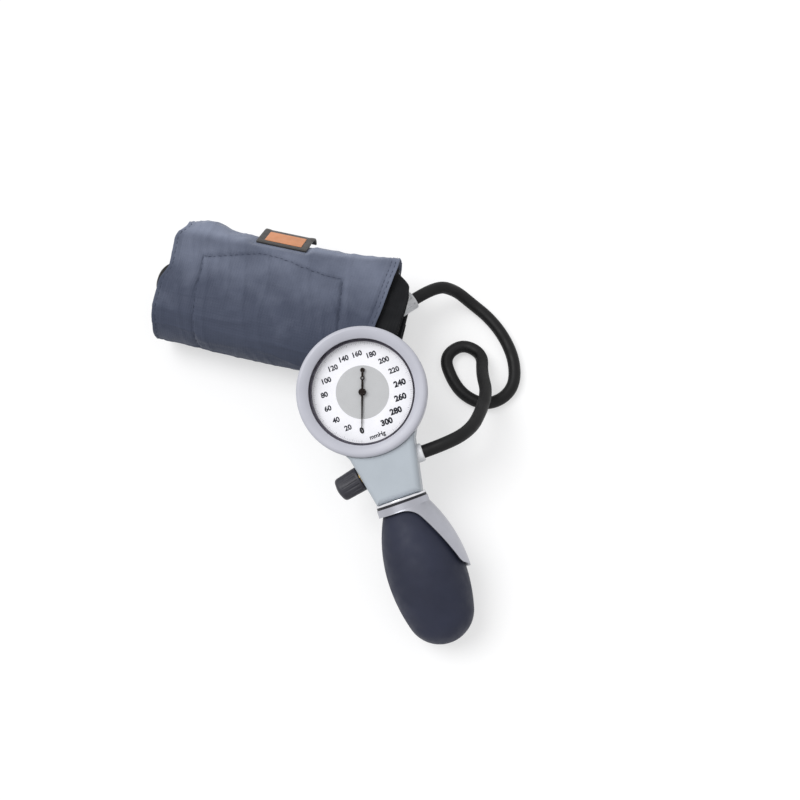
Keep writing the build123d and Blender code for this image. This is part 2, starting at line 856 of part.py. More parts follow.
with BuildPart() as rocker_arm:
    with BuildSketch(rocker_section):
        bar(capsule_x - lift_arm_width / 2, capsule_x + lift_arm_width / 2, rocker_radius, rocker_radius * 2)
    revolve(axis=rocker_axis)
    with BuildSketch(gauge.offset(rocker_axis_z - lift_arm_thick / 2)):
        with Locations((capsule_x, rocker_axis_y - (lift_arm_reach + 0.8 + rocker_radius) / 2)):
            Rectangle(lift_arm_width, lift_arm_reach + 0.8 - rocker_radius)
    extrude(amount=lift_arm_thick)
finish(rocker_arm.part, "rocker_arm")


def spring_arcs(half_width):
    """Half circles of the flat spiral, moved in or out by half its thickness."""
    step = hairspring_pitch / 2
    for half_turn in range(2 * hairspring_turns):
        radius = hairspring_inner + step * half_turn + half_width
        centre = 0 if half_turn % 2 == 0 else step
        side = 1 if half_turn % 2 == 0 else -1
        start = (centre + side * radius, 0)
        end = (centre - side * radius, 0)
        ThreePointArc(start, (centre, side * radius), end)
    return end


with BuildPart() as hairspring:
    with BuildSketch(gauge.offset(hairspring_bottom)):
        with BuildLine():
            outer_end = spring_arcs(hairspring_thick / 2)
            inner_end = spring_arcs(-hairspring_thick / 2)
            Line(outer_end, inner_end)
            Line((hairspring_inner + hairspring_thick / 2, 0), (hairspring_inner - hairspring_thick / 2, 0))
        make_face()
    extrude(amount=hairspring_height)
finish(hairspring.part, "hairspring")

stud_x = (outer_end[0] + inner_end[0]) / 2
with BuildPart() as hairspring_stud:
    with BuildSketch(gauge.offset(hairspring_bottom)):
        with Locations((stud_x, stud_radius)):
            Circle(stud_radius)
    extrude(amount=top_plate_bottom - hairspring_bottom)
finish(hairspring_stud.part, "hairspring_stud")

# Capsule


def wave_points(sign, inset):
    """Corrugated half of the capsule's outline, from the rim to the boss."""
    points = []
    span = capsule_radius - inset - capsule_boss
    for i in range(2 * capsule_waves + 1):
        radius = capsule_radius - inset - span * i / (2 * capsule_waves)
        height = capsule_half - inset - (capsule_wave if i % 2 else 0)
        if i == 0:
            height = 0.4
        points.append((radius, capsule_middle + sign * height))
    return points


lift_top = rocker_axis_z - lift_arm_thick / 2 - 0.1
capsule_boss_top = capsule_middle + capsule_half + 0.4
with BuildPart() as capsule:
    with BuildSketch(capsule_section):
        with BuildLine():
            upper = wave_points(1, 0)
            lower = wave_points(-1, 0)
            Polyline(
                *upper,
                (capsule_boss, capsule_boss_top),
                (post_rod_radius + post_rod_fit, capsule_boss_top),
                (post_rod_radius + post_rod_fit, capsule_middle + capsule_half - 1.2),
                (capsule_boss, capsule_middle + capsule_half - 1.2),
                *reversed(wave_points(1, capsule_wall)),
                *wave_points(-1, capsule_wall),
                (0, capsule_middle - capsule_half + capsule_wall),
                (0, -head_back + head_back_wall),
                (capsule_boss, -head_back + head_back_wall),
                *reversed(lower),
                close=True,
            )
        make_face()
    revolve(axis=capsule_axis)
finish(capsule.part, "capsule")

with BuildPart() as capsule_post:
    with BuildSketch(capsule_section):
        with BuildLine():
            Polyline((0, lift_top), (0, capsule_boss_top - post_rod_depth - capsule_lift))
            Polyline(
                (0, capsule_boss_top - post_rod_depth - capsule_lift),
                (post_rod_radius, capsule_boss_top - post_rod_depth - capsule_lift),
                (post_rod_radius, lift_top - post_rod_radius),
            )
            RadiusArc((post_rod_radius, lift_top - post_rod_radius), (0, lift_top), -post_rod_radius)
        make_face()
    revolve(axis=capsule_axis)
finish(capsule_post.part, "capsule_post")

with BuildPart() as capsule_pipe:
    with BuildSketch(pipe_section):
        bar(pipe_bore, pipe_radius, capsule_y - capsule_radius - 0.1, -(manifold_top + pipe_sink))
    revolve(axis=pipe_axis)
finish(capsule_pipe.part, "capsule_pipe")

# Air manifold with its filter, nipple and valve

with BuildPart() as air_manifold:
    with BuildSketch(gauge.offset(-(neck_half_depth - neck_wall - manifold_gap))):
        bar(-manifold_half, manifold_half, -(flange_top - manifold_gap), -manifold_top)
    extrude(amount=neck_half_depth - neck_wall - manifold_gap + manifold_front)
    with BuildSketch(valve_section):
        bar(-valve_reach - 1, -3, 0, valve_boss_radius)
    revolve(axis=valve_axis)
    with BuildSketch(nipple_section):
        bar(0, nipple_collar_start, 0, nipple_boss_radius)
    revolve(axis=nipple_axis)
    with BuildSketch(gauge):
        bar(0, plug_radius + pivot_fit, -(flange_top + 1), -plug_top)
        bar(0, passage_radius, -plug_top, -passage_top)
        bar(0, chamber_radius, -plug_top, -chamber_top)
    revolve(axis=handle_axis, mode=Mode.SUBTRACT)
    with BuildSketch(nipple_section):
        bar(0, nipple_start, 0, passage_radius)
        bar(nipple_start, nipple_collar_start + 1, 0, nipple_shank_radius + pivot_fit)
    revolve(axis=nipple_axis, mode=Mode.SUBTRACT)
    with BuildSketch(valve_section):
        bar(-valve_reach, 1, 0, valve_body_radius + pivot_fit)
        bar(-valve_reach - 6, -valve_reach, 0, passage_radius)
    revolve(axis=valve_axis, mode=Mode.SUBTRACT)
    with BuildSketch(pipe_section):
        bar(0, pipe_radius + pivot_fit, -(manifold_top + pipe_sink), -(manifold_top - 1))
        bar(0, pipe_bore, -(plug_top - 4), -(manifold_top - 1))
    revolve(axis=pipe_axis, mode=Mode.SUBTRACT)
finish(air_manifold.part, "air_manifold")

with BuildPart() as micro_filter:
    with BuildSketch(nipple_section):
        bar(nipple_start, nipple_start + filter_thick, 0, filter_radius)
    revolve(axis=nipple_axis)
finish(micro_filter.part, "micro_filter")


def nozzle_outline(start, length, root):
    """A tapering hose nozzle with two barbs, from its root radius inwards."""
    step = length / 2
    return [
        (start, root),
        (start + step * 0.45, root - nipple_barb),
        (start + step, root),
        (start + step, root - nipple_barb),
        (start + 2 * step, root - nipple_barb * 1.6),
    ]


with BuildPart() as hose_nipple:
    with BuildSketch(nipple_section):
        with BuildLine():
            Polyline(
                (nipple_start + filter_thick, nipple_bore),
                (nipple_start + filter_thick, nipple_shank_radius),
                (nipple_collar_start, nipple_shank_radius),
                (nipple_collar_start, nipple_collar_radius),
                (nipple_end - 0.5, nipple_collar_radius),
                (nipple_end, nipple_collar_radius - 0.5),
                *nozzle_outline(nipple_end, nipple_length, nipple_radius),
                (nipple_end + nipple_length, nipple_bore),
                close=True,
            )
        make_face()
    revolve(axis=nipple_axis)
finish(hose_nipple.part, "hose_nipple")

needle_back = -stem_inner - pivot_fit
seat_top = -valve_reach + seat_length
with BuildPart() as valve_body:
    with BuildSketch(valve_section):
        with BuildLine():
            Polyline(
                (-valve_reach, seat_bore),
                (-valve_reach, valve_body_radius),
                (0, valve_body_radius),
                (0.1, valve_nose_radius),
                (valve_nose, valve_nose_radius),
                (valve_nose, stem_radius + stem_fit),
                (-oring_place + oring_radius + 0.1, stem_radius + stem_fit),
                (-oring_place + oring_radius + 0.1, stem_radius + 2 * oring_radius + 0.2),
                (-oring_place - oring_radius - 0.1, stem_radius + 2 * oring_radius + 0.2),
                (-oring_place - oring_radius - 0.1, stem_radius + stem_fit),
                (-stem_inner - 0.4, stem_radius + stem_fit),
                (-stem_inner - 0.4, needle_radius + needle_fit),
                (seat_top + 0.6, needle_radius + needle_fit),
                (seat_top, seat_bore),
                close=True,
            )
        make_face()
    revolve(axis=valve_axis)
finish(valve_body.part, "valve_body")

with BuildPart() as bleed_needle:
    with BuildSketch(valve_section):
        with BuildLine():
            tip_start = seat_top - 0.35
            Polyline(
                (needle_back, 0),
                (needle_back, needle_radius),
                (seat_top + 0.62, needle_radius),
                (tip_start, needle_tip_radius),
                (tip_start, 0),
                close=True,
            )
        make_face()
    revolve(axis=valve_axis)
finish(bleed_needle.part, "bleed_needle")

with BuildPart() as valve_oring:
    with BuildSketch(valve_section):
        with Locations((-oring_place, stem_radius + stem_fit + oring_radius)):
            Circle(oring_radius)
    revolve(axis=valve_axis)
finish(valve_oring.part, "valve_oring")

with BuildPart() as valve_stem:
    with BuildSketch(valve_section):
        bar(-stem_inner, knob_start + knob_bore, 0, stem_radius)
    revolve(axis=valve_axis)
    chamfer(valve_stem.edges().sort_by(valve_axis)[-1], 0.4)
finish(valve_stem.part, "valve_stem")

knob_end = knob_start + knob_length
knob_rim = knob_end_radius - knob_end_round
dome_radius = (knob_rim**2 + knob_dome**2) / (2 * knob_dome)
with BuildPart() as valve_knob:
    with BuildSketch(valve_section):
        with BuildLine():
            Polyline(
                (knob_start + knob_recess, stem_radius),
                (knob_start + knob_recess, knob_recess_radius),
                (knob_start, knob_recess_radius),
                (knob_start, knob_base_radius - 0.5),
                (knob_start + 0.5, knob_base_radius),
                (knob_end - knob_end_round, knob_end_radius),
            )
            RadiusArc(
                (knob_end - knob_end_round, knob_end_radius),
                (knob_end, knob_rim),
                knob_end_round,
            )
            ThreePointArc(
                (knob_end, knob_rim),
                (knob_end + knob_dome - dome_radius + sqrt(dome_radius**2 - knob_rim**2 / 4), knob_rim / 2),
                (knob_end + knob_dome, 0),
            )
            Polyline(
                (knob_end + knob_dome, 0),
                (knob_start + knob_bore, 0),
                (knob_start + knob_bore, stem_radius),
                (knob_start + knob_recess, stem_radius),
            )
        make_face()
    revolve(axis=valve_axis)
    flute_plane = Plane(
        origin=valve_section.from_local_coords((knob_start + 1.6, 0, 0)),
        x_dir=gauge.z_dir,
        z_dir=valve_out,
    )
    with BuildSketch(flute_plane):
        with PolarLocations(knob_base_radius + knob_flute_radius * 0.35, knob_flutes):
            Circle(knob_flute_radius)
    extrude(amount=knob_length + knob_dome, mode=Mode.SUBTRACT)
finish(valve_knob.part, "valve_knob")

# Bulb coupler with its check valves

with BuildPart() as bulb_coupler:
    with BuildSketch(gauge):
        bar(tube_bore, plug_radius, -flange_top, -plug_top)
        bar(tube_bore, flange_radius, -(neck_end - neck_end_wall - pivot_fit), -flange_top)
        bar(tube_bore, web_radius, -web_end, -(neck_end - neck_end_wall - pivot_fit))
        bar(tube_bore, tube_radius, -(spigot_end - 2), -web_end)
        bar(spigot_radius - spigot_wall, spigot_radius, -spigot_end, -(neck_end + 0.1))
        bar(tube_radius, tube_radius + seat_rim, -(seat_place + seat_thick), -seat_place)
        bar(
            spigot_radius - spigot_wall - seat_rim,
            spigot_radius - spigot_wall,
            -(seat_place + seat_thick),
            -seat_place,
        )
    revolve(axis=handle_axis)
    vent_plane = Plane(
        origin=gauge.from_local_coords((0, -(web_end + 0.1), 0)), x_dir=gauge.x_dir, z_dir=gauge.y_dir
    )
    with BuildSketch(vent_plane):
        with PolarLocations((tube_radius + plug_radius) / 2 + 0.3, coupler_vents):
            Circle(vent_radius)
    extrude(amount=web_end - flange_top + 1.5, mode=Mode.SUBTRACT)
finish(bulb_coupler.part, "bulb_coupler")

with BuildPart() as outlet_disc:
    with BuildSketch(gauge):
        bar(0, outlet_disc_radius, -(plug_top - disc_gap), -(plug_top - disc_gap - disc_thick))
    revolve(axis=handle_axis)
finish(outlet_disc.part, "outlet_disc")

seat_face = seat_place + seat_thick
with BuildPart() as inlet_disc:
    with BuildSketch(gauge):
        bar(
            inlet_disc_inner,
            inlet_disc_outer,
            -(seat_face + disc_gap + disc_thick),
            -(seat_face + disc_gap),
        )
    revolve(axis=handle_axis)
finish(inlet_disc.part, "inlet_disc")

retainer_top = seat_face + 2 * disc_gap + disc_thick + disc_lift
with BuildPart() as valve_retainer:
    with BuildSketch(gauge):
        bar(
            tube_radius + pivot_fit,
            spigot_radius - spigot_wall - pivot_fit,
            -(retainer_top + retainer_thick),
            -retainer_top,
        )
    revolve(axis=handle_axis)
    retainer_plane = Plane(
        origin=gauge.from_local_coords((0, -(retainer_top + retainer_thick + 1), 0)),
        x_dir=gauge.x_dir,
        z_dir=gauge.y_dir,
    )
    with BuildSketch(retainer_plane):
        with PolarLocations((inlet_disc_inner + inlet_disc_outer) / 2, coupler_vents):
            Circle(vent_radius)
    extrude(amount=retainer_thick + 2, mode=Mode.SUBTRACT)
finish(valve_retainer.part, "valve_retainer")

collar_end = neck_end + collar_thick
seal_end = collar_end + seal_thick
with BuildPart() as neck_collar:
    with BuildSketch(gauge):
        bar(spigot_radius + coupler_fit, collar_radius, -collar_end, -neck_end)
    revolve(axis=handle_axis)
    fillet(neck_collar.edges().group_by(SortBy.LENGTH)[-1], 0.5)
finish(neck_collar.part, "neck_collar")

with BuildPart() as collar_seal:
    with BuildSketch(gauge):
        bar(spigot_radius + coupler_fit, seal_radius, -seal_end, -collar_end)
    revolve(axis=handle_axis)
finish(collar_seal.part, "collar_seal")

# Bulb, a hollow of revolution about the handle axis


def bulb_points(offset):
    """Points of the bulb's outline, moved out by an offset: mouth, shoulder, side, tail."""
    side_centre = bulb_radius - bulb_side_arc
    run = hypot(-side_centre, bulb_tail_centre - bulb_middle)
    join = (
        -side_centre * (bulb_tail_radius + offset) / run,
        -(bulb_tail_centre + (bulb_tail_centre - bulb_middle) * (bulb_tail_radius + offset) / run),
    )
    swell = bulb_radius - bulb_mouth_radius
    upper_arc = ((bulb_middle - bulb_shoulder) ** 2 + swell**2) / (2 * swell)
    return {
        "shoulder": (bulb_mouth_radius + offset, -bulb_shoulder),
        "middle": (bulb_radius + offset, -bulb_middle),
        "join": join,
        "tail": (0, -(bulb_tail_centre + bulb_tail_radius + offset)),
        "upper_radius": upper_arc + offset,
        "side_radius": bulb_side_arc + offset,
        "tail_radius": bulb_tail_radius + offset,
    }


outside = bulb_points(0)
inside = bulb_points(-bulb_wall)
with BuildPart() as bulb:
    with BuildSketch(gauge):
        with BuildLine():
            mouth_bore = spigot_radius + pivot_fit
            Line((mouth_bore, -bulb_start), (bulb_mouth_radius, -bulb_start))
            Line((bulb_mouth_radius, -bulb_start), outside["shoulder"])
            RadiusArc(outside["shoulder"], outside["middle"], outside["upper_radius"])
            RadiusArc(outside["middle"], outside["join"], outside["side_radius"])
            RadiusArc(outside["join"], outside["tail"], outside["tail_radius"])
            Line(outside["tail"], inside["tail"])
            RadiusArc(inside["tail"], inside["join"], -inside["tail_radius"])
            RadiusArc(inside["join"], inside["middle"], -inside["side_radius"])
            RadiusArc(inside["middle"], (mouth_bore, -(spigot_end + 2)), -inside["side_radius"])
            Line((mouth_bore, -(spigot_end + 2)), (mouth_bore, -bulb_start))
        make_face()
    revolve(axis=handle_axis)
finish(bulb.part, "bulb")

# Spoon: a collar clamped on the coupler, whose side runs on as a shield round the bulb

spoon_top = seal_end + spoon_float
spoon_inner = bulb_points(spoon_gap)
spoon_outer = bulb_points(spoon_gap + spoon_thick)
spoon_reach = bulb_radius + spoon_gap + spoon_thick + 2
side_angle = radians(spoon_side)
side_out = gauge.x_dir * cos(side_angle) + gauge.z_dir * sin(side_angle)
spoon_profile = Plane(origin=gauge.origin, x_dir=side_out, z_dir=side_out.cross(gauge.y_dir))
with BuildPart() as spoon:
    with BuildSketch(gauge):
        with BuildLine():
            Polyline(
                spoon_inner["shoulder"],
                (spoon_inner["shoulder"][0], -spoon_top),
                (spoon_outer["shoulder"][0], -spoon_top),
                spoon_outer["shoulder"],
            )
            RadiusArc(spoon_outer["shoulder"], spoon_outer["middle"], spoon_outer["upper_radius"])
            RadiusArc(spoon_outer["middle"], spoon_outer["join"], spoon_outer["side_radius"])
            Line(spoon_outer["join"], spoon_inner["join"])
            RadiusArc(spoon_inner["join"], spoon_inner["middle"], -spoon_inner["side_radius"])
            RadiusArc(spoon_inner["middle"], spoon_inner["shoulder"], -spoon_inner["upper_radius"])
        make_face()
    revolve(axis=handle_axis)
    with BuildSketch(spoon_profile):
        with BuildLine():
            FilletPolyline(
                (-spoon_reach, -spoon_skirt_end),
                (spoon_waist_out, -spoon_skirt_end),
                (spoon_hip_out, -spoon_hip),
                (spoon_reach, -spoon_end),
                radius=(spoon_waist_round, spoon_hip_round),
            )
            Polyline(
                (spoon_reach, -spoon_end),
                (spoon_reach, -spoon_top + 1),
                (-spoon_reach, -spoon_top + 1),
                (-spoon_reach, -spoon_skirt_end),
            )
        make_face()
    extrude(amount=spoon_reach, both=True, mode=Mode.INTERSECT)
    with BuildSketch(gauge):
        bar(
            spigot_radius + coupler_fit,
            spoon_inner["shoulder"][0] + spoon_thick / 2,
            -(spoon_top + spoon_plate),
            -spoon_top,
        )
    revolve(axis=handle_axis)
finish(spoon.part, "spoon")

# Cuff, rolled up. Half turns alternate between two centres, so the runs stay tangent.


def roll_edge(inset, first, last):
    """One edge of a rolled layer: arcs at the front and back with straight runs between."""
    points = []
    for half_turn in range(first, last + 1):
        radius = roll_radius - inset - half_turn * roll_pitch / 2
        if half_turn % 2 == 0:
            y, z, side = roll_front, roll_radius, -1
        else:
            y, z, side = roll_back, roll_radius + roll_pitch / 2, 1
        points.append(((y, z + side * radius), (y + side * radius, z), (y, z - side * radius)))
    return points


def draw_edge(arcs, start, end):
    """Draw a rolled edge from a start point to an end point."""
    Line(start, arcs[0][0])
    for i, arc in enumerate(arcs):
        ThreePointArc(*arc)
        if i + 1 < len(arcs):
            Line(arc[2], arcs[i + 1][0])
    Line(arcs[-1][2], end)


def rolled_layer(inset, thick, first, last, lead, tail, left, right):
    """A layer of the cuff: lead and tail are the straight lengths before and after its arcs."""
    outer = roll_edge(inset, first, last)
    inner = roll_edge(inset + thick, first, last)
    lead_side = 1 if first % 2 == 0 else -1
    tail_side = 1 if last % 2 == 0 else -1
    roll_plane = Plane(origin=(left, 0, 0), x_dir=(0, 1, 0), z_dir=(1, 0, 0))
    with BuildSketch(roll_plane) as layer:
        with BuildLine():
            outer_start = (outer[0][0][0] + lead_side * lead, outer[0][0][1])
            inner_start = (inner[0][0][0] + lead_side * lead, inner[0][0][1])
            outer_stop = (outer[-1][2][0] + tail_side * tail, outer[-1][2][1])
            inner_stop = (inner[-1][2][0] + tail_side * tail, inner[-1][2][1])
            draw_edge(outer, outer_start, outer_stop)
            draw_edge(inner, inner_start, inner_stop)
            Line(outer_start, inner_start)
            Line(outer_stop, inner_stop)
        make_face()
    extrude(layer.sketch, amount=right - left)


last_half_turn = 2 * roll_turns - 1
bladder_inset = fabric_thick + layer_gap
lining_inset = bladder_inset + bladder_thick + layer_gap
flap_run = roll_straight - flap_start
tail_run = roll_straight - flap_start
with BuildPart() as cuff_fabric:
    rolled_layer(0, fabric_thick, 0, last_half_turn, flap_run, tail_run, roll_left, roll_right)
finish(cuff_fabric.part, "cuff_fabric")

with BuildPart() as cuff_bladder:
    rolled_layer(
        bladder_inset,
        bladder_thick,
        2 * bladder_skipped_turns,
        last_half_turn,
        roll_straight / 2,
        tail_run - 2,
        roll_left + bladder_margin,
        roll_right - bladder_margin,
    )
finish(cuff_bladder.part, "cuff_bladder")

with BuildPart() as cuff_lining:
    rolled_layer(
        lining_inset,
        lining_thick,
        0,
        last_half_turn,
        flap_run,
        tail_run,
        roll_left,
        roll_right + lining_reach,
    )
finish(cuff_lining.part, "cuff_lining")

hook_bottom = lining_inset + lining_thick
with BuildPart() as hook_strip:
    hook_middle = (roll_left + roll_right) / 2
    with BuildSketch(Plane.XY.offset(hook_bottom)):
        with Locations((hook_middle, (roll_front + roll_back) / 2)):
            Rectangle(hook_width, hook_length)
    extrude(amount=hook_thick)
finish(hook_strip.part, "hook_strip")

back_centre = (roll_back, roll_radius + roll_pitch / 2)


def back_patch(inner, thick, start, sweep, left, length):
    """A curved plate on the back of the roll, by its angles from the top."""
    patch_plane = Plane(origin=(left, back_centre[0], back_centre[1]), x_dir=(0, 1, 0), z_dir=(1, 0, 0))
    with BuildSketch(patch_plane) as patch:
        with BuildLine():
            ring_sector(inner, inner + thick, 90 - start - sweep, 90 - start)
        make_face()
    extrude(patch.sketch, amount=length)


patch_sweep = degrees(patch_size / back_radius)
with BuildPart() as label_patch:
    back_patch(patch_inner, patch_thick, patch_start, patch_sweep, dial_x + patch_left, patch_size)
finish(label_patch.part, "label_patch")

with BuildPart() as label_stripe:
    back_patch(
        patch_inner + patch_thick,
        stripe_thick,
        patch_start + (patch_sweep - stripe_angle) / 3,
        stripe_angle,
        dial_x + patch_left + (patch_size - stripe_length) / 2,
        stripe_length,
    )
finish(label_stripe.part, "label_stripe")

# Hose and cuff tube, with the coupling between them

hollow_floor = roll_turns * roll_pitch + hook_bottom
coupling_heading = radians(228)
coupling_origin = Vector(
    roll_right + coupling_out, roll_back + coupling_back, hollow_floor + coupling_rise
)
coupling_dir = Vector(cos(coupling_heading), sin(coupling_heading), 0)
coupling_section = Plane(origin=coupling_origin, x_dir=coupling_dir, z_dir=(0, 0, 1))
coupling_axis = Axis(coupling_origin, coupling_dir)

end_run = 16.0
hose_rest = hose_diameter / 2
hose_start = nipple_section.from_local_coords((nipple_end, 0, 0))
hose_lead = nipple_section.from_local_coords((nipple_end + end_run, 0, 0))
hose_tail = coupling_section.from_local_coords((-end_run, 0, 0))
hose_route = [
    tuple(hose_start),
    tuple(hose_lead),
    (86.6, 11.2, 39.5),
    (89.3, 24.7, 31.0),
    (90.2, 40.0, 22.5),
    (84.9, 53.9, 13.5),
    (82.7, 69.2, 5.5),
    (69.4, 73.8, hose_rest),
    (60.6, 62.8, hose_rest),
    (68.8, 49.3, hose_rest),
    (77.7, 41.6, hose_rest),
    (90.1, 38.8, hose_rest),
    (100.2, 44.9, hose_rest),
    (105.0, 55.6, hose_rest),
    (102.0, 69.9, hose_rest),
    (93.7, 83.0, hose_rest),
    (82.2, 93.7, hose_rest),
    (69.0, 100.6, 4.5),
    (58.0, 103.0, 13.0),
    tuple(hose_tail),
    tuple(coupling_origin),
]
tube_rest = hollow_floor + hose_diameter / 2
port_level = tube_rest + port_flange + 0.1
port_back = roll_front + 0.646 * (roll_back - roll_front)
tube_start = coupling_section.from_local_coords((coupling_length, 0, 0))
tube_lead = coupling_section.from_local_coords((coupling_length + end_run, 0, 0))
port_mouth = (roll_left + 67.0, port_back, port_level)
tube_route = [
    tuple(tube_start),
    tuple(tube_lead),
    (roll_right - 37.4, roll_front + 9.1, tube_rest + 2),
    (roll_right - 55.0, roll_front + 6.1, tube_rest),
    (roll_left + 57.0, roll_front + 5.6, tube_rest),
    (roll_left + 36.0, roll_front + 4.6, tube_rest),
    (roll_left + 15.5, roll_front + 5.1, tube_rest),
    (roll_left - 3.5, roll_front + 4.6, tube_rest),
    (roll_left - 4.0, roll_front + 24.1, tube_rest),
    (roll_left + 14.5, roll_front + 24.1, tube_rest),
    (roll_left + 32.0, roll_front + 21.1, tube_rest + 0.4),
    (roll_left + 49.5, port_back + 0.5, port_level),
    port_mouth,
]


def corner_radii(points):
    """The largest arc that each corner's two runs allow."""
    radii = []
    for before, here, after in zip(points, points[1:], points[2:]):
        inward = Vector(*here) - Vector(*before)
        outward = Vector(*after) - Vector(*here)
        half_turn = radians(inward.get_angle(outward)) / 2
        radii.append(0.45 * min(inward.length, outward.length) / tan(half_turn))
    return radii


def route_tube(points, start_dir, name):
    """A round tube along a route, bored at both ends for its nozzles."""
    radii = corner_radii(points)
    with BuildLine() as route:
        FilletPolyline(*points, radius=radii)
    with BuildSketch(Plane(origin=points[0], z_dir=start_dir)) as section:
        Circle(hose_diameter / 2)
    path = route.wire()
    sweep(section.sketch, path=path)
    for end, toward in ((points[0], points[1]), (points[-1], points[-2])):
        with BuildSketch(Plane(origin=end, z_dir=Vector(*toward) - Vector(*end))) as bore:
            Circle(hose_bore)
        extrude(bore.sketch, amount=hose_bore_depth, mode=Mode.SUBTRACT)
    length = path.length
    print(name, "length", round(length, 1), "least radius", round(min(radii), 1))
    return length


with BuildPart() as hose:
    hose_length = route_tube(hose_route, gauge.x_dir, "hose")
finish(hose.part, "hose")

with BuildPart() as cuff_tube:
    tube_length = route_tube(tube_route, coupling_dir, "cuff tube")
finish(cuff_tube.part, "cuff_tube")
for label, piece, length in (("hose", hose, hose_length), ("cuff_tube", cuff_tube, tube_length)):
    full = pi * (hose_diameter / 2) ** 2 * length - 2 * pi * hose_bore**2 * hose_bore_depth
    print(label, "volume over section times length", round(piece.part.volume / full, 4))


def cut_grips(start, end):
    """Finger grooves round a coupling half."""
    grip_plane = Plane(
        origin=coupling_section.from_local_coords((start, 0, 0)), x_dir=(0, 0, 1), z_dir=coupling_dir
    )
    with BuildSketch(grip_plane) as grips:
        with PolarLocations(coupling_radius + grip_radius * 0.3, coupling_grips):
            Circle(grip_radius)
    extrude(grips.sketch, amount=end - start, mode=Mode.SUBTRACT)


with BuildPart() as male_coupling:
    with BuildSketch(coupling_section):
        with BuildLine():
            Polyline(
                (coupling_flange, nipple_bore),
                *reversed([(-x, r) for x, r in [(nipple_length, nipple_bore)]]),
                *reversed([(-x, r) for x, r in nozzle_outline(0, nipple_length, nipple_radius)]),
                (0, coupling_radius),
                (coupling_sleeve, coupling_radius),
                (coupling_sleeve, coupling_sleeve_bore),
                (coupling_flange + 4, coupling_sleeve_bore),
                (coupling_flange + 4, taper_start_radius),
                (taper_end, taper_end_radius),
                (taper_end, nipple_bore),
                close=True,
            )
        make_face()
    revolve(axis=coupling_axis)
    cut_grips(1.5, coupling_sleeve - 1.5)
finish(male_coupling.part, "male_coupling")

female_start = coupling_flange + 4.4
with BuildPart() as female_coupling:
    with BuildSketch(coupling_section):
        with BuildLine():
            Polyline(
                (female_start, taper_start_radius + coupling_fit),
                (female_start, coupling_sleeve_bore - coupling_fit),
                (coupling_sleeve + 0.3, coupling_sleeve_bore - coupling_fit),
                (coupling_sleeve + 0.3, coupling_radius),
                (coupling_length, coupling_radius),
                *nozzle_outline(coupling_length, nipple_length, nipple_radius),
                (coupling_length + nipple_length, nipple_bore),
                (taper_end + 0.5, nipple_bore),
                (taper_end + 0.5, taper_end_radius + coupling_fit),
                close=True,
            )
        make_face()
    revolve(axis=coupling_axis)
    cut_grips(coupling_sleeve + 1.5, coupling_length - 1.5)
finish(female_coupling.part, "female_coupling")

port_run = Vector(*port_mouth) - Vector(*tube_route[-2])
port_dir = port_run.normalized()
port_centre = Vector(*port_mouth) + port_dir * (port_body_radius + 1)
with BuildPart() as bladder_port:
    with BuildSketch(Plane(origin=(port_centre.X, port_centre.Y, hollow_floor))):
        Circle(port_flange_radius)
    extrude(amount=port_flange)
    with BuildSketch(Plane(origin=(port_centre.X, port_centre.Y, hollow_floor))):
        Circle(port_body_radius)
    extrude(amount=port_mouth[2] + 3.2 - hollow_floor)
    port_section = Plane(origin=port_mouth, x_dir=-port_dir, z_dir=(0, 0, 1))
    with BuildSketch(port_section):
        bar(-(port_body_radius + 1), 0, 0, 3.0)
        with BuildLine():
            Polyline(
                (-0.5, 0),
                *nozzle_outline(0, nipple_length, nipple_radius),
                (nipple_length, 0),
                close=True,
            )
        make_face()
    revolve(axis=Axis(port_mouth, -port_dir))
finish(bladder_port.part, "bladder_port")

flat_length = flap_run + tail_run + (last_half_turn) * roll_straight
for half_turn in range(last_half_turn + 1):
    flat_length += pi * (roll_radius - half_turn * roll_pitch / 2)
print("cuff laid flat", round(flat_length), "x", cuff_width)

if __name__ == "__main__":
    for part in parts:
        export_step(part, f"parts/{part.label}.step")
    print(len(parts), "nodes")
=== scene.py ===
"""Looks for a palm blood pressure gauge with its bulb, hose and rolled arm cuff.

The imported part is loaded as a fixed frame. Rubber, cloth and print are made here as
pieces of their own, and every surface gets the finish of the real one. Metres, in the
part's own frame. The file is laid out as an add-on and run as a script.
"""

import json
from collections import namedtuple
from math import atan2, cos, degrees, exp, hypot, pi, radians, sin, sqrt

import bpy
from bpy.props import FloatProperty, FloatVectorProperty, PointerProperty
from mathutils import Matrix, Vector, noise


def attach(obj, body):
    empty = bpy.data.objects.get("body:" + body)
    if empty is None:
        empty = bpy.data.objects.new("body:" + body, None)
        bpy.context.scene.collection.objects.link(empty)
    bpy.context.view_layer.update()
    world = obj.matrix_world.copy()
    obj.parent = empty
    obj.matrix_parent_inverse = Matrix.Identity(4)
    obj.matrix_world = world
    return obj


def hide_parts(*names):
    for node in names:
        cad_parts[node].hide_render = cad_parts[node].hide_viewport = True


bl_info = {
    "name": "Palm blood pressure gauge",
    "version": (1, 0, 0),
    "blender": (4, 5, 0),
    "location": "View3D > Sidebar > Pressure gauge",
    "description": "Dresses the packed gauge, bulb, hose and rolled cuff",
    "category": "Object",
}

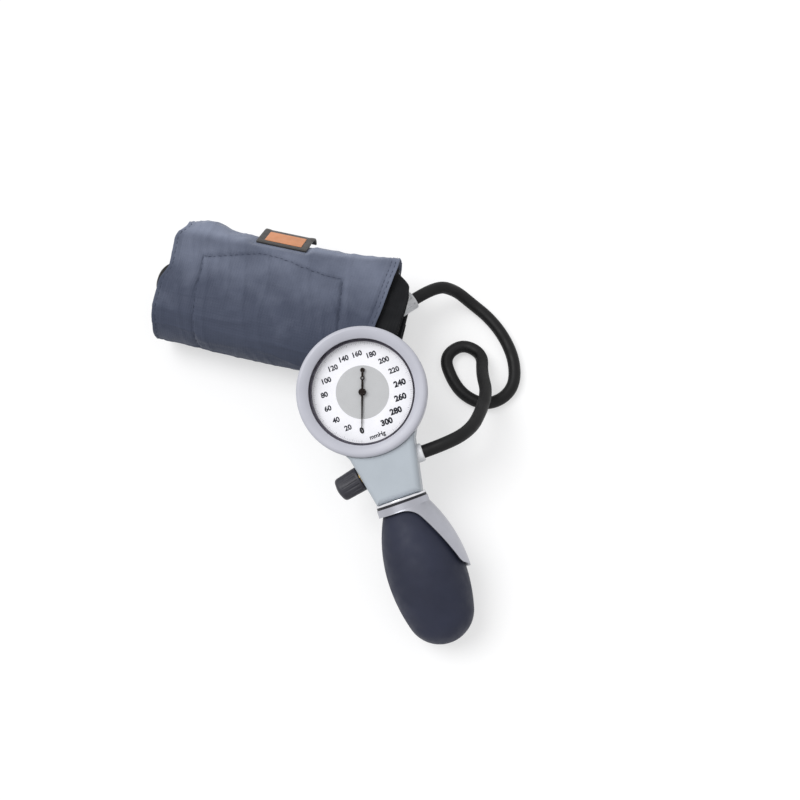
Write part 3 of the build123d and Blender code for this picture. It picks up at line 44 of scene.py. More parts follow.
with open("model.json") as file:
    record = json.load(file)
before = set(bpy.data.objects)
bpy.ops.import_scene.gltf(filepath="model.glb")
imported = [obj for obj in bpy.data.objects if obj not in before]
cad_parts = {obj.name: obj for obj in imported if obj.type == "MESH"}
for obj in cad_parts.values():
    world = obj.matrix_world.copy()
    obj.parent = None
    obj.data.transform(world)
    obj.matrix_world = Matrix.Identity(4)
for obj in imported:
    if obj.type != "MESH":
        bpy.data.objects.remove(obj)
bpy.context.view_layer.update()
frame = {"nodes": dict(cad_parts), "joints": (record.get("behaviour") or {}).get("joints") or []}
nodes = frame["nodes"]
joints = {joint["name"]: joint for joint in frame["joints"]}
MM = 0.001

# The gauge's own directions: right, up the handle to the head, and out of the dial
DIAL = Vector(joints["pointer_turn"]["pos_m"])
RIGHT = Vector(joints["rocker_tilt"]["axis"]).normalized()
OUT = Vector(joints["pointer_turn"]["axis"]).normalized()
UP = OUT.cross(RIGHT).normalized()

# The roll, in millimetres: centres of its front and back arcs, its two ends and its turns
ROLL_FRONT = 53.415
ROLL_BACK = 81.415
ROLL_RADIUS = 23.0
ROLL_PITCH = 3.6
ROLL_LEFT = -109.058
ROLL_RIGHT = 22.942
ROLL_TURNS = 3
FLAP_RUN = 25.0

# Its layers, in millimetres: how far in from the roll's face each lies, and its thickness
CLOTH_LAYER = (0.0, 0.9)
BLADDER_LAYER = (1.0, 1.2)
LINING_LAYER = (2.3, 0.9)
BLADDER_MARGIN = 8.0
LINING_REACH = 11.0

# Routes of the hose and the cuff tube, in millimetres
HOSE_ROUTE = [
    (86.6, 11.2, 39.5),
    (89.3, 24.7, 31.0),
    (90.2, 40.0, 22.5),
    (84.9, 53.9, 13.5),
    (82.7, 69.2, 5.5),
    (69.4, 73.8, 3.6),
    (60.6, 62.8, 3.6),
    (68.8, 49.3, 3.6),
    (77.7, 41.6, 3.6),
    (90.1, 38.8, 3.6),
    (100.2, 44.9, 3.6),
    (105.0, 55.6, 3.6),
    (102.0, 69.9, 3.6),
    (93.7, 83.0, 3.6),
    (82.2, 93.7, 3.6),
    (69.0, 100.6, 4.5),
    (58.0, 103.0, 13.0),
]
TUBE_ROUTE = [
    (-14.5, 62.5, 19.6),
    (-32.0, 59.5, 17.6),
    (-52.0, 59.0, 17.6),
    (-73.0, 58.0, 17.6),
    (-93.5, 58.5, 17.6),
    (-112.5, 58.0, 17.6),
    (-113.0, 77.5, 17.6),
    (-94.5, 77.5, 17.6),
    (-77.0, 74.5, 18.0),
    (-59.5, 72.0, 18.9),
    (-42.0, 71.5, 18.9),
]
NIPPLE_END = (19.7, -40.7)
END_RUN = 16.0
COUPLING_START = Vector((36.5, 86.6, 22.5))
COUPLING_HEADING = radians(228)
COUPLING_LENGTH = 24.0


def colour(code):
    """A colour written as sRGB hex, as the linear values that a shader takes."""
    values = [int(code[i : i + 2], 16) / 255 for i in (1, 3, 5)]
    return tuple(v / 12.92 if v <= 0.04045 else ((v + 0.055) / 1.055) ** 2.4 for v in values)


def on_gauge(x, y, z=0.0):
    """A point of the gauge, from millimetres to the right, up the handle and out of the dial."""
    return DIAL + RIGHT * (x * MM) + UP * (y * MM) + OUT * (z * MM)


def smooth(value, low, high):
    """Rise smoothly from 0 at low to 1 at high."""
    share = min(max((value - low) / (high - low), 0.0), 1.0)
    return share * share * (3 - 2 * share)


def hump(value, centre, width):
    """A round hump, 1 at its centre."""
    return exp(-(((value - centre) / width) ** 2))


def ripple(x, y, seed):
    """Smooth noise from about -0.7 to 0.7."""
    return noise.noise(Vector((x, y, seed)))


def ridge(x, y, seed, width):
    """Thin ridges that wander along the zero lines of smooth noise, 1 at their crests."""
    return max(1 - abs(ripple(x, y, seed)) / width, 0.0)


# Shader nodes and the patterns made of them


def add_node(tree, kind, settings=None, links=None):
    """Add a node, set its inputs and options, and link other nodes' outputs to it."""
    node = tree.nodes.new(kind)
    for name, value in (settings or {}).items():
        if isinstance(name, int) or name in node.inputs:
            node.inputs[name].default_value = value
        else:
            setattr(node, name, value)
    for name, source in (links or {}).items():
        tree.links.new(source, node.inputs[name])
    return node


def new_material(name, **settings):
    """A material with one surface. Returns it, its nodes, the shader and the place on the piece."""
    material = bpy.data.materials.new(name)
    material.use_nodes = True
    tree = material.node_tree
    tree.nodes.clear()
    shader = add_node(tree, "ShaderNodeBsdfPrincipled")
    for socket, value in settings.items():
        shader.inputs[socket.replace("_", " ")].default_value = value
    add_node(tree, "ShaderNodeOutputMaterial", links={"Surface": shader.outputs[0]})
    place = add_node(tree, "ShaderNodeTexCoord").outputs["Object"]
    return material, tree, shader, place


def patches(tree, place, size_mm, low, high, socket):
    """Let a colour or a number vary from low to high in soft patches about size_mm across."""
    cloud = add_node(
        tree, "ShaderNodeTexNoise", {"Scale": 1000 / size_mm, "Detail": 3.0}, {"Vector": place}
    )
    # Noise seldom leaves the middle third of its range, so that third is stretched
    share = add_node(
        tree,
        "ShaderNodeMapRange",
        {"From Min": 0.35, "From Max": 0.65},
        {"Value": cloud.outputs["Fac"]},
    )
    if socket.type != "RGBA":
        share.inputs["To Min"].default_value = low
        share.inputs["To Max"].default_value = high
        tree.links.new(share.outputs["Result"], socket)
        return
    blend = add_node(
        tree,
        "ShaderNodeMix",
        {"data_type": "RGBA", 6: (*low, 1.0), 7: (*high, 1.0)},
        {0: share.outputs["Result"]},
    )
    tree.links.new(blend.outputs[2], socket)


def pebbles(tree, place, size_mm, depth_mm, shader, detail=2.0):
    """Raise the surface in grains about size_mm across and depth_mm high."""
    grains = add_node(
        tree, "ShaderNodeTexNoise", {"Scale": 1000 / size_mm, "Detail": detail}, {"Vector": place}
    )
    bump = add_node(
        tree,
        "ShaderNodeBump",
        {"Distance": depth_mm * MM, "Strength": 1.0},
        {"Height": grains.outputs["Fac"]},
    )
    tree.links.new(bump.outputs["Normal"], shader.inputs["Normal"])


def tint(shade, share):
    """A darker or lighter version of a colour."""
    return tuple(min(c * share, 1.0) for c in shade)


def sprayed_paint(name, shade):
    """Polyester paint baked on die-cast zinc: the spray leaves a fine orange peel."""
    material, tree, shader, place = new_material(
        name, IOR=1.5, Specular_IOR_Level=0.3, Coat_Weight=0.06, Coat_Roughness=0.3
    )
    patches(tree, place, 16, tint(shade, 0.94), shade, shader.inputs["Base Color"])
    patches(tree, place, 5, 0.31, 0.38, shader.inputs["Roughness"])
    pebbles(tree, place, 0.9, 0.004, shader, 1.0)
    return material


def moulded_plastic(name, shade, roughness, grain_mm, depth_mm):
    """Injection moulded plastic: the spark-eroded mould leaves its grain on the skin."""
    material, tree, shader, place = new_material(name, IOR=1.53, Specular_IOR_Level=0.4)
    patches(tree, place, 8, tint(shade, 0.86), shade, shader.inputs["Base Color"])
    patches(tree, place, 3, roughness - 0.07, roughness + 0.07, shader.inputs["Roughness"])
    pebbles(tree, place, grain_mm, depth_mm, shader, 3.0)
    return material


def cured_rubber(name, shade, bloom, roughness, grain_mm=0.8, depth_mm=0.015):
    """Vulcanised rubber: wax blooms out of it in dull patches where it isn't rubbed."""
    material, tree, shader, place = new_material(name, IOR=1.52, Specular_IOR_Level=0.2)
    patches(tree, place, 22, shade, bloom, shader.inputs["Base Color"])
    patches(tree, place, 6, roughness - 0.06, roughness + 0.08, shader.inputs["Roughness"])
    pebbles(tree, place, grain_mm, depth_mm, shader)
    return material


def worked_metal(name, shade, roughness, line_mm=0.25, depth_mm=0.004):
    """Metal with the lines of the tool that turned, rolled or drew it."""
    material, tree, shader, place = new_material(name, Metallic=1.0)
    patches(tree, place, 6, tint(shade, 0.95), shade, shader.inputs["Base Color"])
    patches(tree, place, 2, roughness - 0.02, roughness + 0.04, shader.inputs["Roughness"])
    pebbles(tree, place, line_mm, depth_mm, shader, 1.0)
    return material


def matt_coat(name, shade):
    """Matt enamel, lacquer, screen ink or dyed thread: flat, with a trace of unevenness."""
    material, tree, shader, place = new_material(
        name, IOR=1.5, Specular_IOR_Level=0.12, Roughness=0.7
    )
    patches(tree, place, 9, tint(shade, 0.96), shade, shader.inputs["Base Color"])
    pebbles(tree, place, 0.7, 0.006, shader, 1.0)
    return material


def clear_polycarbonate():
    """Moulded window: the dial shows straight through, with wiping marks in the gloss."""
    material, tree, shader, place = new_material(
        "clear_polycarbonate", IOR=1.585, Transmission_Weight=1.0, Alpha=0.008
    )
    patches(tree, place, 12, 0.02, 0.07, shader.inputs["Roughness"])
    return material


def woven_nylon(name, shade, rubbed, thread_mm, sheen):
    """Plain woven nylon with a coated back. Its threads are 0.3 mm, drawn coarser to show."""
    material, tree, shader, place = new_material(
        name, IOR=1.53, Specular_IOR_Level=0.15, Sheen_Weight=sheen, Sheen_Roughness=0.4
    )
    cut = add_node(tree, "ShaderNodeAttribute", {"attribute_name": "cut_place"}).outputs["Vector"]
    # Each point's share of painted light, stored on the sheet
    lit_share = add_node(tree, "ShaderNodeAttribute", {"attribute_name": "rubbed"}).outputs["Fac"]
    # The zones of painted light and painted shade break up in clouds of 20 mm, the width of a fold
    clouds = add_node(
        tree, "ShaderNodeTexNoise", {"Scale": 1000 / 20, "Detail": 4.0}, {"Vector": place}
    )
    uneven = add_node(
        tree,
        "ShaderNodeMath",
        {"operation": "MULTIPLY_ADD", 1: 0.9, 2: -0.45},
        {0: clouds.outputs["Fac"]},
    )
    share = add_node(
        tree,
        "ShaderNodeMath",
        {"operation": "ADD", "use_clamp": True},
        {0: uneven.outputs[0], 1: lit_share},
    )
    # The colour runs from the shade colour to the pale colour of painted light, by that share
    blend = add_node(
        tree,
        "ShaderNodeMix",
        {"data_type": "RGBA", 6: (*shade, 1.0), 7: (*rubbed, 1.0)},
        {0: share.outputs[0]},
    )
    tree.links.new(blend.outputs[2], shader.inputs["Base Color"])
    patches(tree, place, 7, 0.58, 0.72, shader.inputs["Roughness"])
    threads = [
        add_node(
            tree,
            "ShaderNodeTexWave",
            {
                "bands_direction": direction,
                "Scale": pi / 10 / (2 * thread_mm * MM),
                "Distortion": 0.5,
                "Detail": 1.0,
                "Detail Scale": 1.5,
            },
            {"Vector": cut},
        ).outputs["Fac"]
        for direction in "XY"
    ]
    weave = add_node(
        tree, "ShaderNodeMath", {"operation": "MULTIPLY"}, {0: threads[0], 1: threads[1]}
    )
    # Small crumples of 4 mm from being rolled up, deeper than the weave
    crumple = add_node(
        tree, "ShaderNodeTexNoise", {"Scale": 1000 / 4, "Detail": 3.0}, {"Vector": place}
    )
    height = add_node(
        tree,
        "ShaderNodeMath",
        {"operation": "MULTIPLY_ADD", 1: 2.4},
        {0: crumple.outputs["Fac"], 2: weave.outputs[0]},
    )
    bump = add_node(
        tree,
        "ShaderNodeBump",
        {"Distance": 0.1 * MM, "Strength": 0.9},
        {"Height": height.outputs[0]},
    )
    tree.links.new(bump.outputs["Normal"], shader.inputs["Normal"])
    return material


# Objects and meshes


def add_object(name, data):
    """A new object in the scene."""
    made = bpy.data.objects.new(name, data)
    bpy.context.scene.collection.objects.link(made)
    return made


def make_mesh(name, points, faces, material, flat=False):
    """A mesh piece in metres that rides on the instrument."""
    mesh = bpy.data.meshes.new(name)
    mesh.from_pydata([tuple(p) for p in points], [], faces)
    mesh.polygons.foreach_set("use_smooth", [not flat] * len(mesh.polygons))
    mesh.materials.append(material)
    mesh.update()
    piece = add_object(name, mesh)
    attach(piece, "instrument")
    return piece


def grid_faces(rows, columns, closed=False):
    """Faces of a grid of points, row by row. A closed grid joins its last column to its first."""
    faces = []
    for row in range(rows - 1):
        for column in range(columns if closed else columns - 1):
            here, beside = row * columns + column, row * columns + (column + 1) % columns
            faces.append((here, beside, beside + columns, here + columns))
    return faces


def join_shapes(shapes):
    """Put several lists of points and faces into one."""
    points, faces = [], []
    for more, corners in shapes:
        base = len(points)
        points += more
        faces += [tuple(base + c for c in face) for face in corners]
    return points, faces


def round_edges(piece, width_mm, least_angle):
    """Round off every edge sharper than an angle in degrees."""
    edge = piece.modifiers.new("rounded edge", "BEVEL")
    edge.width = width_mm * MM
    edge.segments = 2
    edge.limit_method = "ANGLE"
    edge.angle_limit = radians(least_angle)


def chosen(shade):
    """One of the colours in the settings."""
    return tuple(getattr(bpy.context.scene.gauge_colours, shade))


def set_finish(material, names):
    """Give CAD nodes a finish."""
    for name in names:
        mesh = nodes[name].data
        mesh.materials.clear()
        mesh.materials.append(material)


# The hose and the tube in the cuff


def lay_cord(name, points, node, material):
    """A round rubber hose along its route's points, in millimetres."""
    curve = bpy.data.curves.new(name, "CURVE")
    curve.dimensions = "3D"
    curve.bevel_depth = bpy.context.scene.gauge_sizes.hose_diameter / 2
    curve.bevel_resolution = 7
    curve.resolution_u = 14
    curve.use_fill_caps = True
    line = curve.splines.new("NURBS")
    line.points.add(len(points) - 1)
    for spot, point in zip(line.points, points):
        spot.co = (*(Vector(point) * MM), 1.0)
    line.order_u = 3
    line.use_endpoint_u = True
    curve.materials.append(material)
    piece = add_object(name, curve)
    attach(piece, "instrument")
    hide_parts(node)
    return piece


def lay_hoses():
    """The hose from the gauge to the coupling, and the tube from there to the bladder."""
    shade = chosen("hose")
    # Extruded rubber: near black, with a soft streak of light along its top
    rubber = cured_rubber(
        "extruded_rubber_hose", shade, tint(shade, 1.5), 0.5, grain_mm=0.6, depth_mm=0.01
    )
    start = on_gauge(*NIPPLE_END) / MM
    heading = Vector((cos(COUPLING_HEADING), sin(COUPLING_HEADING), 0))
    tail = COUPLING_START - heading * END_RUN
    hose_route = [start, start + RIGHT * END_RUN, *HOSE_ROUTE, tail, COUPLING_START]
    lay_cord("hose_line", hose_route, "hose", rubber)
    far = COUPLING_START + heading * COUPLING_LENGTH
    tube_route = [far, far + heading * END_RUN, *TUBE_ROUTE]
    lay_cord("cuff_tube_line", tube_route, "cuff_tube", rubber)


# The cuff


Row = namedtuple("Row", "y z out_y out_z run half")
FLAP_STEPS = 20
LEAST_ARC_STEPS = 24


def arc_radius(inset, half):
    """Radius of one half turn of a rolled layer, in millimetres."""
    return ROLL_RADIUS - inset - half * ROLL_PITCH / 2


def arc_point(inset, half, share):
    """A point a share of the way round a half turn, which way is outward there, and the half turn.

    Even half turns go up the front of the roll, and odd ones down its back.
    """
    front = half % 2 == 0
    centre_y = ROLL_FRONT if front else ROLL_BACK
    centre_z = ROLL_RADIUS if front else ROLL_RADIUS + ROLL_PITCH / 2
    angle = (-pi / 2 if front else pi / 2) - pi * share
    out_y, out_z = cos(angle), sin(angle)
    radius = arc_radius(inset, half)
    return centre_y + radius * out_y, centre_z + radius * out_z, out_y, out_z, half


def roll_line(inset, first, flap, step):
    """Rows of a rolled layer's outer face, from its outer end inwards, in millimetres.

    The layer starts and ends with a flat flap. Each row also holds which way is outward,
    the length so far and the half turn that it is on.
    """
    y, z, out_y, out_z, half = arc_point(inset, first, 0)
    path = [(y + flap * (1 - i / FLAP_STEPS), z, out_y, out_z, half) for i in range(FLAP_STEPS)]
    halves = range(first, 2 * ROLL_TURNS)
    for half in halves:
        count = max(int(pi * arc_radius(inset, half) / step), LEAST_ARC_STEPS)
        path += [arc_point(inset, half, j / count) for j in range(count + 1)]
        if half == halves[-1]:
            break
        y, z, out_y, out_z, _ = path[-1]
        ahead_y, ahead_z = arc_point(inset, half + 1, 0)[:2]
        many = int(hypot(ahead_y - y, ahead_z - z) / step)
        for share in (j / many for j in range(1, many)):
            across = y + (ahead_y - y) * share
            path.append((across, z + (ahead_z - z) * share, out_y, out_z, half + share))
    y, z, out_y, out_z, half = path[-1]
    path += [(y - flap * i / FLAP_STEPS, z, out_y, out_z, half) for i in range(1, FLAP_STEPS + 1)]
    rows, run, before = [], 0.0, path[0]
    for y, z, out_y, out_z, half in path:
        run += hypot(y - before[0], z - before[1])
        rows.append(Row(y, z, out_y, out_z, run, half))
        before = (y, z)
    return rows


def around(y, z):
    """Where a point is round the roll: millimetres back from the front of its top run."""
    if y > ROLL_BACK:
        return ROLL_BACK - ROLL_FRONT + ROLL_RADIUS * atan2(y - ROLL_BACK, z - ROLL_RADIUS)
    if y < ROLL_FRONT:
        return -ROLL_RADIUS * atan2(ROLL_FRONT - y, z - ROLL_RADIUS)
    return y - ROLL_FRONT if z > ROLL_RADIUS else ROLL_BACK - ROLL_FRONT + pi * ROLL_RADIUS


def fold_line(x):
    """Place round the roll of the soft fold behind which the cloth turns down to the back."""
    return 33.2 + 10 * ((x + 96) / 114) ** 2


def long_seam(x):
    """Place round the roll of the bladder pocket's long seam."""
    return 20.5 + 0.05 * (x + 86) + 7.5 * hump(x, -48, 26)


def cross_seam(side, place):
    """Where the pocket's left or right seam runs along the roll."""
    if side == "left":
        return -86.6 + 0.137 * (21.7 - place)
    return -3.1 + 0.168 * (25.4 - place)


def pocket_edge(x, place):
    """How far a point lies inside the bladder pocket's seam, in millimetres. Outside is below 0."""
    return min(long_seam(x) - place, x - cross_seam("left", place), cross_seam("right", place) - x)


# Seams of the hems, in from the ends, and where the label lies, all in millimetres
HEM_LINES = (2.0, 4.3)
LABEL_LEFT = -58.4
LABEL_WIDTH = 30.0
LABEL_PLACE = 38.0


def label_press(x, place):
    """1 where the label holds the cloth flat against the roll."""
    across = smooth(x, LABEL_LEFT - 5, LABEL_LEFT) * (
        1 - smooth(x, LABEL_LEFT + LABEL_WIDTH, LABEL_LEFT + LABEL_WIDTH + 5)
    )
    return across * smooth(place, LABEL_PLACE - 4, LABEL_PLACE)


def main_fold(x, place):
    """The soft fold along the roll's top, and the slack in the cloth around it."""
    behind = place - fold_line(x)
    crest = 1.9 * max(1 - (behind / 15 if behind > 0 else -behind / 38), 0.0)
    slack = 0.8 * max(ripple(x / 34, place / 19, 3.1) + 0.25, 0.0)
    return crest + slack


def creases(x, place):
    """Soft creases along the roll, and fainter ones round it where it is pulled tight."""
    along = 0.55 * ridge(x / 48 + place / 90, place / 9, 9.7, 0.22)
    round_it = 0.4 * ridge((x + place * 0.25) / 11, place / 46, 1.9, 0.2)
    return along + round_it


def raised_ends(x, place):
    """The end that stands up at the back left, and the right end, which the hose lifts."""
    left_end = 2.8 * hump(x, -92, 12) * hump(place, 48, 12)
    left_crease = ridge((x + 92) / 26 - (place - 40) / 26, place / 80, 4.0, 0.2)
    right_end = 2.2 * smooth(x, -8, 23) * hump(place, 44, 13)
    waves = 0.8 * smooth(x, 12, 22.5) * max(ripple(place / 10, 5.0, 0), 0)
    return left_end + 0.5 * left_crease * hump(place, 42, 9) + right_end + waves


def pocket_relief(x, place):
    """The bladder pocket's doubled cloth, its swell, and the puckers along its sunk seam."""
    inside = pocket_edge(x, place)
    doubled = 0.5 * smooth(inside, -0.6, 0.6)
    swell = 0.35 * smooth(inside, 0.5, 5)
    pushed_up = 0.3 * hump(inside, -4, 2.5)
    pucker = 0.5 + 0.5 * sin((x + place) * 0.9 + 3 * ripple(x / 12, place / 12, 0))
    seam = 0.8 * hump(inside, 0, 0.75)
    return doubled + swell + pushed_up + 0.3 * pucker * hump(inside, 1.2, 2.5) - seam


def hem_grooves(x):
    """How deep the hems' seams pull the cloth in, in millimetres."""
    right = sum(0.55 * hump(ROLL_RIGHT - x, line, 0.55) for line in HEM_LINES)
    left = sum(0.4 * hump(x - ROLL_LEFT, line, 0.55) for line in HEM_LINES)
    return left + right


def drape(x, place):
    """How far the outer turn's cloth stands off the roll, in millimetres."""
    off = main_fold(x, place) + creases(x, place) + raised_ends(x, place)
    off += pocket_relief(x, place) - hem_grooves(x)
    return max(off * (1 - label_press(x, place)), 0.0)


def above_floor(place):
    """1 for cloth on the roll's top and sides, and 0 for what lies under it."""
    return smooth(place, -70, -48) * (1 - smooth(place, 62, 98))


def cloth_shift(x, place):
    """How far the cloth's ends lie off their straight cut, in millimetres along the roll."""
    left = 2.9 * smooth(place, 2, 13) + 1.2 * smooth(place, 28, 40) - 1.6 * hump(place, 28, 7)
    left += 0.7 * ripple(place / 9, 7.7, 0)
    right = 1.2 * smooth(place, 0, 14) + 2.6 * smooth(place, 12, 40)
    right += 0.4 * ripple(place / 12, 2.2, 0)
    free = above_floor(place)
    return (4.2 + left * free) * smooth(-x, 70, 109) + (right * free - 1.2) * smooth(x, -5, 20)


def lining_shift(x, place):
    """The same for the lining: its open end is drawn in at the back, under the cloth."""
    right = 0.9 * hump(place, 20, 14) - 8.5 * smooth(place, 31, 44)
    right += 0.5 * ripple(place / 10, 8.1, 0)
    return cloth_shift(min(x, 0), place) + right * above_floor(place) * smooth(x, 5, 30)


def sheet_point(row, x, loose, shift):
    """A point of a rolled sheet's outer face, in metres."""
    place = around(row.y, row.z)
    # Only the outer turn is free to stand off, and not where it lies flat under the roll
    free = loose * smooth(row.out_z, -0.75, 0.0) * (1 - smooth(row.half, 1.0, 1.9))
    if row.half < 0.5 and row.y > ROLL_FRONT and row.z < ROLL_RADIUS:
        free = 0.0
    off = drape(x, place) * free if free > 0 else 0.0
    return Vector((x + shift(x, place), row.y + row.out_y * off, row.z + row.out_z * off)) * MM


def painted_light_share(x, place):
    """How pale painted light makes the cloth: most behind its fold, where the cloth turns to the
    back, and least at the front, where painted shade lies. It is also a little darker on the pocket
    and along the seams.
    """
    # Painted light behind the fold and towards the back, painted shade to the front
    behind = 0.62 * smooth(place - fold_line(x), -3, 4) + 0.38 * smooth(place, -8, 28)
    inside = pocket_edge(x, place)
    # A little darker along the pocket's seams and the right hem's inner seam
    seams = 0.16 * hump(inside, -0.3, 1.1) + 0.16 * hump(ROLL_RIGHT - x, HEM_LINES[1], 0.8)
    return behind - 0.08 * smooth(inside, -0.5, 0.5) - seams


def rolled_sheet(
    name, replaced, material, layer, ends, first=0, loose=0.0, shift=cloth_shift
):
    """A rolled layer as one sheet with its own thickness. Returns its rows too.

    It starts at the half turn called first, and its folds stand off the roll by loose, from
    0 for a tight layer to 1 for the outer cloth.
    """
    inset, thick = layer
    left, right = ends
    step = bpy.context.scene.gauge_sizes.cloth_step / MM
    flap = FLAP_RUN if first == 0 else (ROLL_BACK - ROLL_FRONT) / 2
    rows = roll_line(inset, first, flap, step)
    columns = int((right - left) / step) + 1
    points, cut, rubbed = [], [], []
    for row in rows:
        place = around(row.y, row.z)
        for column in range(columns):
            x = left + (right - left) * column / (columns - 1)
            points.append(sheet_point(row, x, loose, shift))
            cut.append((row.run * MM, x * MM, 0.0))
            # How pale painted light makes the cloth at this point
            rubbed.append(painted_light_share(x, place))
    piece = make_mesh(name, points, grid_faces(len(rows), columns), material)
    cut_place = piece.data.attributes.new("cut_place", "FLOAT_VECTOR", "POINT")
    cut_place.data.foreach_set("vector", [c for spot in cut for c in spot])
    piece.data.attributes.new("rubbed", "FLOAT", "POINT").data.foreach_set("value", rubbed)
    body = piece.modifiers.new("thickness", "SOLIDIFY")
    body.thickness = thick * MM
    body.offset = -1.0
    body.use_even_offset = True
    round_edges(piece, width_mm=0.22, least_angle=60)
    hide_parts(replaced)
    return piece, rows


# Stitches, in millimetres: how far apart they are, how far ahead each aims, and their size
STITCH_PITCH = 3.2
STITCH_AIM = 1.5
STITCH_LENGTH = 2.1
STITCH_WIDTH = 0.38
STITCH_LIFT = 0.2
STITCH_SIDES = 6
# Where along a stitch its rings are, and how thick it is there, as shares of its size
STITCH_RINGS = ((-0.5, 0.35), (-0.3, 0.9), (0.0, 1.0), (0.3, 0.9), (0.5, 0.35))


def stitch(spot, along, out):
    """One stitch of thread: a grain that dips into the cloth at both ends."""
    beside = out.cross(along).normalized()
    points = []
    for share, thick in STITCH_RINGS:
        dip = (1 - thick) * 0.35 * STITCH_WIDTH
        centre = spot + along * (share * STITCH_LENGTH * MM) - out * (dip * MM)
        for turn in range(STITCH_SIDES):
            angle = turn * 2 * pi / STITCH_SIDES
            way = beside * cos(angle) + out * sin(angle) * 0.7
            points.append(centre + way * (thick * STITCH_WIDTH / 2 * MM))
    caps = [
        tuple(reversed(range(STITCH_SIDES))),
        tuple(range(len(points) - STITCH_SIDES, len(points))),
    ]
    return points, grid_faces(len(STITCH_RINGS), STITCH_SIDES, True) + caps


def sew_cuff(rows, thread):
    """The stitches of the pocket's seam and of the hems at both ends."""
    outer = [row for row in rows if row.half <= 1.0 and row.z > 6]
    places = [around(row.y, row.z) for row in outer]
    shapes = []

    def find(x, place):
        row = outer[min(range(len(outer)), key=lambda i: abs(places[i] - place))]
        return row, sheet_point(row, x, 1.0, cloth_shift)

    def sew(count, start, way, seam_at):
        for here in (start + way * i * STITCH_PITCH for i in range(count)):
            row, spot = find(*seam_at(here))
            along = find(*seam_at(here + way * STITCH_AIM))[1] - spot
            if along.length > 0:
                out = Vector((0, row.out_y, row.out_z))
                shapes.append(stitch(spot + out * STITCH_LIFT * MM, along.normalized(), out))

    # Each seam: its number of stitches, its start, the way it runs, and its x and place
    sew(26, -85.0, 1, lambda x: (x, long_seam(x)))
    sew(20, 20.0, -1, lambda place: (cross_seam("left", place), place))
    sew(20, 23.0, -1, lambda place: (cross_seam("right", place), place))
    sew(32, 58.0, -1, lambda place: (ROLL_RIGHT - HEM_LINES[0], place))
    sew(32, 58.0, -1, lambda place: (ROLL_RIGHT - HEM_LINES[1], place))
    sew(32, 58.0, -1, lambda place: (ROLL_LEFT + HEM_LINES[0], place))
    points, faces = join_shapes(shapes)
    stitches = make_mesh("cuff_stitches", points, faces, thread)
    return stitches


def roll_cuff():
    """The cuff's outer cloth, bladder and black lining, rolled up together, with its seams."""
    # Grey nylon: matt blue grey with a faint bloom on the folds; painted light makes it pale behind
    # its fold and painted shade darker to the front
    cloth = woven_nylon(
        "woven_nylon_grey", chosen("cloth"), chosen("painted_light_cloth"), thread_mm=0.8, sheen=0.1
    )
    # Black nylon: the same weave, so dark that only its folds show, paled by painted light behind
    # its fold like the outer cloth
    dark = chosen("lining")
    black = woven_nylon("woven_nylon_black", dark, tint(dark, 1.6), thread_mm=0.9, sheen=0.02)
    # Dipped latex: dull grey black, hidden but for the roll's ends
    rubber = cured_rubber("dipped_latex_bladder", colour("#232427"), colour("#37383c"), 0.55)
    # Twisted polyester thread: a dark grey dash at each stitch
    thread = matt_coat("twisted_polyester_thread", colour("#474d5e"))
    whole = (ROLL_LEFT, ROLL_RIGHT)
    reach = (ROLL_LEFT, ROLL_RIGHT + LINING_REACH)
    bag_ends = (ROLL_LEFT + BLADDER_MARGIN, ROLL_RIGHT - BLADDER_MARGIN)
    outer, rows = rolled_sheet(
        "cuff_cloth", "cuff_fabric", cloth, CLOTH_LAYER, whole, loose=1.0
    )
    lining, _ = rolled_sheet(
        "cuff_black_lining",
        "cuff_lining",
        black,
        LINING_LAYER,
        reach,
        shift=lining_shift,
    )
    bag, _ = rolled_sheet(
        "cuff_bladder_bag",
        "cuff_bladder",
        rubber,
        BLADDER_LAYER,
        bag_ends,
        first=2,
    )
    stitches = sew_cuff(rows, thread)


# Bulb

# In millimetres, down the handle from the dial's centre and out from the handle's axis
BULB_MOUTH = 64.4
BULB_NECK_END = 66.0
BULB_BORE_END = 81.0
BULB_TAIL = 141.0
BULB_BORE = 8.25
BULB_NECK = 11.9
BULB_WALL = 2.2
# Arcs of its outline: where each ends, where its centre is down the handle and out, its radius
BULB_ARCS = (
    (103.0, 103.0, -57.05, 78.25),
    (127.5, 103.0, -69.07, 90.27),
    (BULB_TAIL, 122.5, 0.0, 18.5),
)


def bulb_radius_at(place):
    """Radius of the bulb at a distance down the handle, in millimetres."""
    if place < BULB_NECK_END:
        return BULB_NECK
    _, centre, out, radius = next(arc for arc in BULB_ARCS if place <= arc[0])
    return sqrt(max(radius**2 - (place - centre) ** 2, 0.0)) + out


def parting_ridge(place, angle):
    """The low line that the two halves of the bulb's mould leave on its left and right."""
    away = abs((degrees(angle) + 90) % 180 - 90)
    return 0.08 * hump(away, 0, 0.8) * smooth(place, 68, 74)


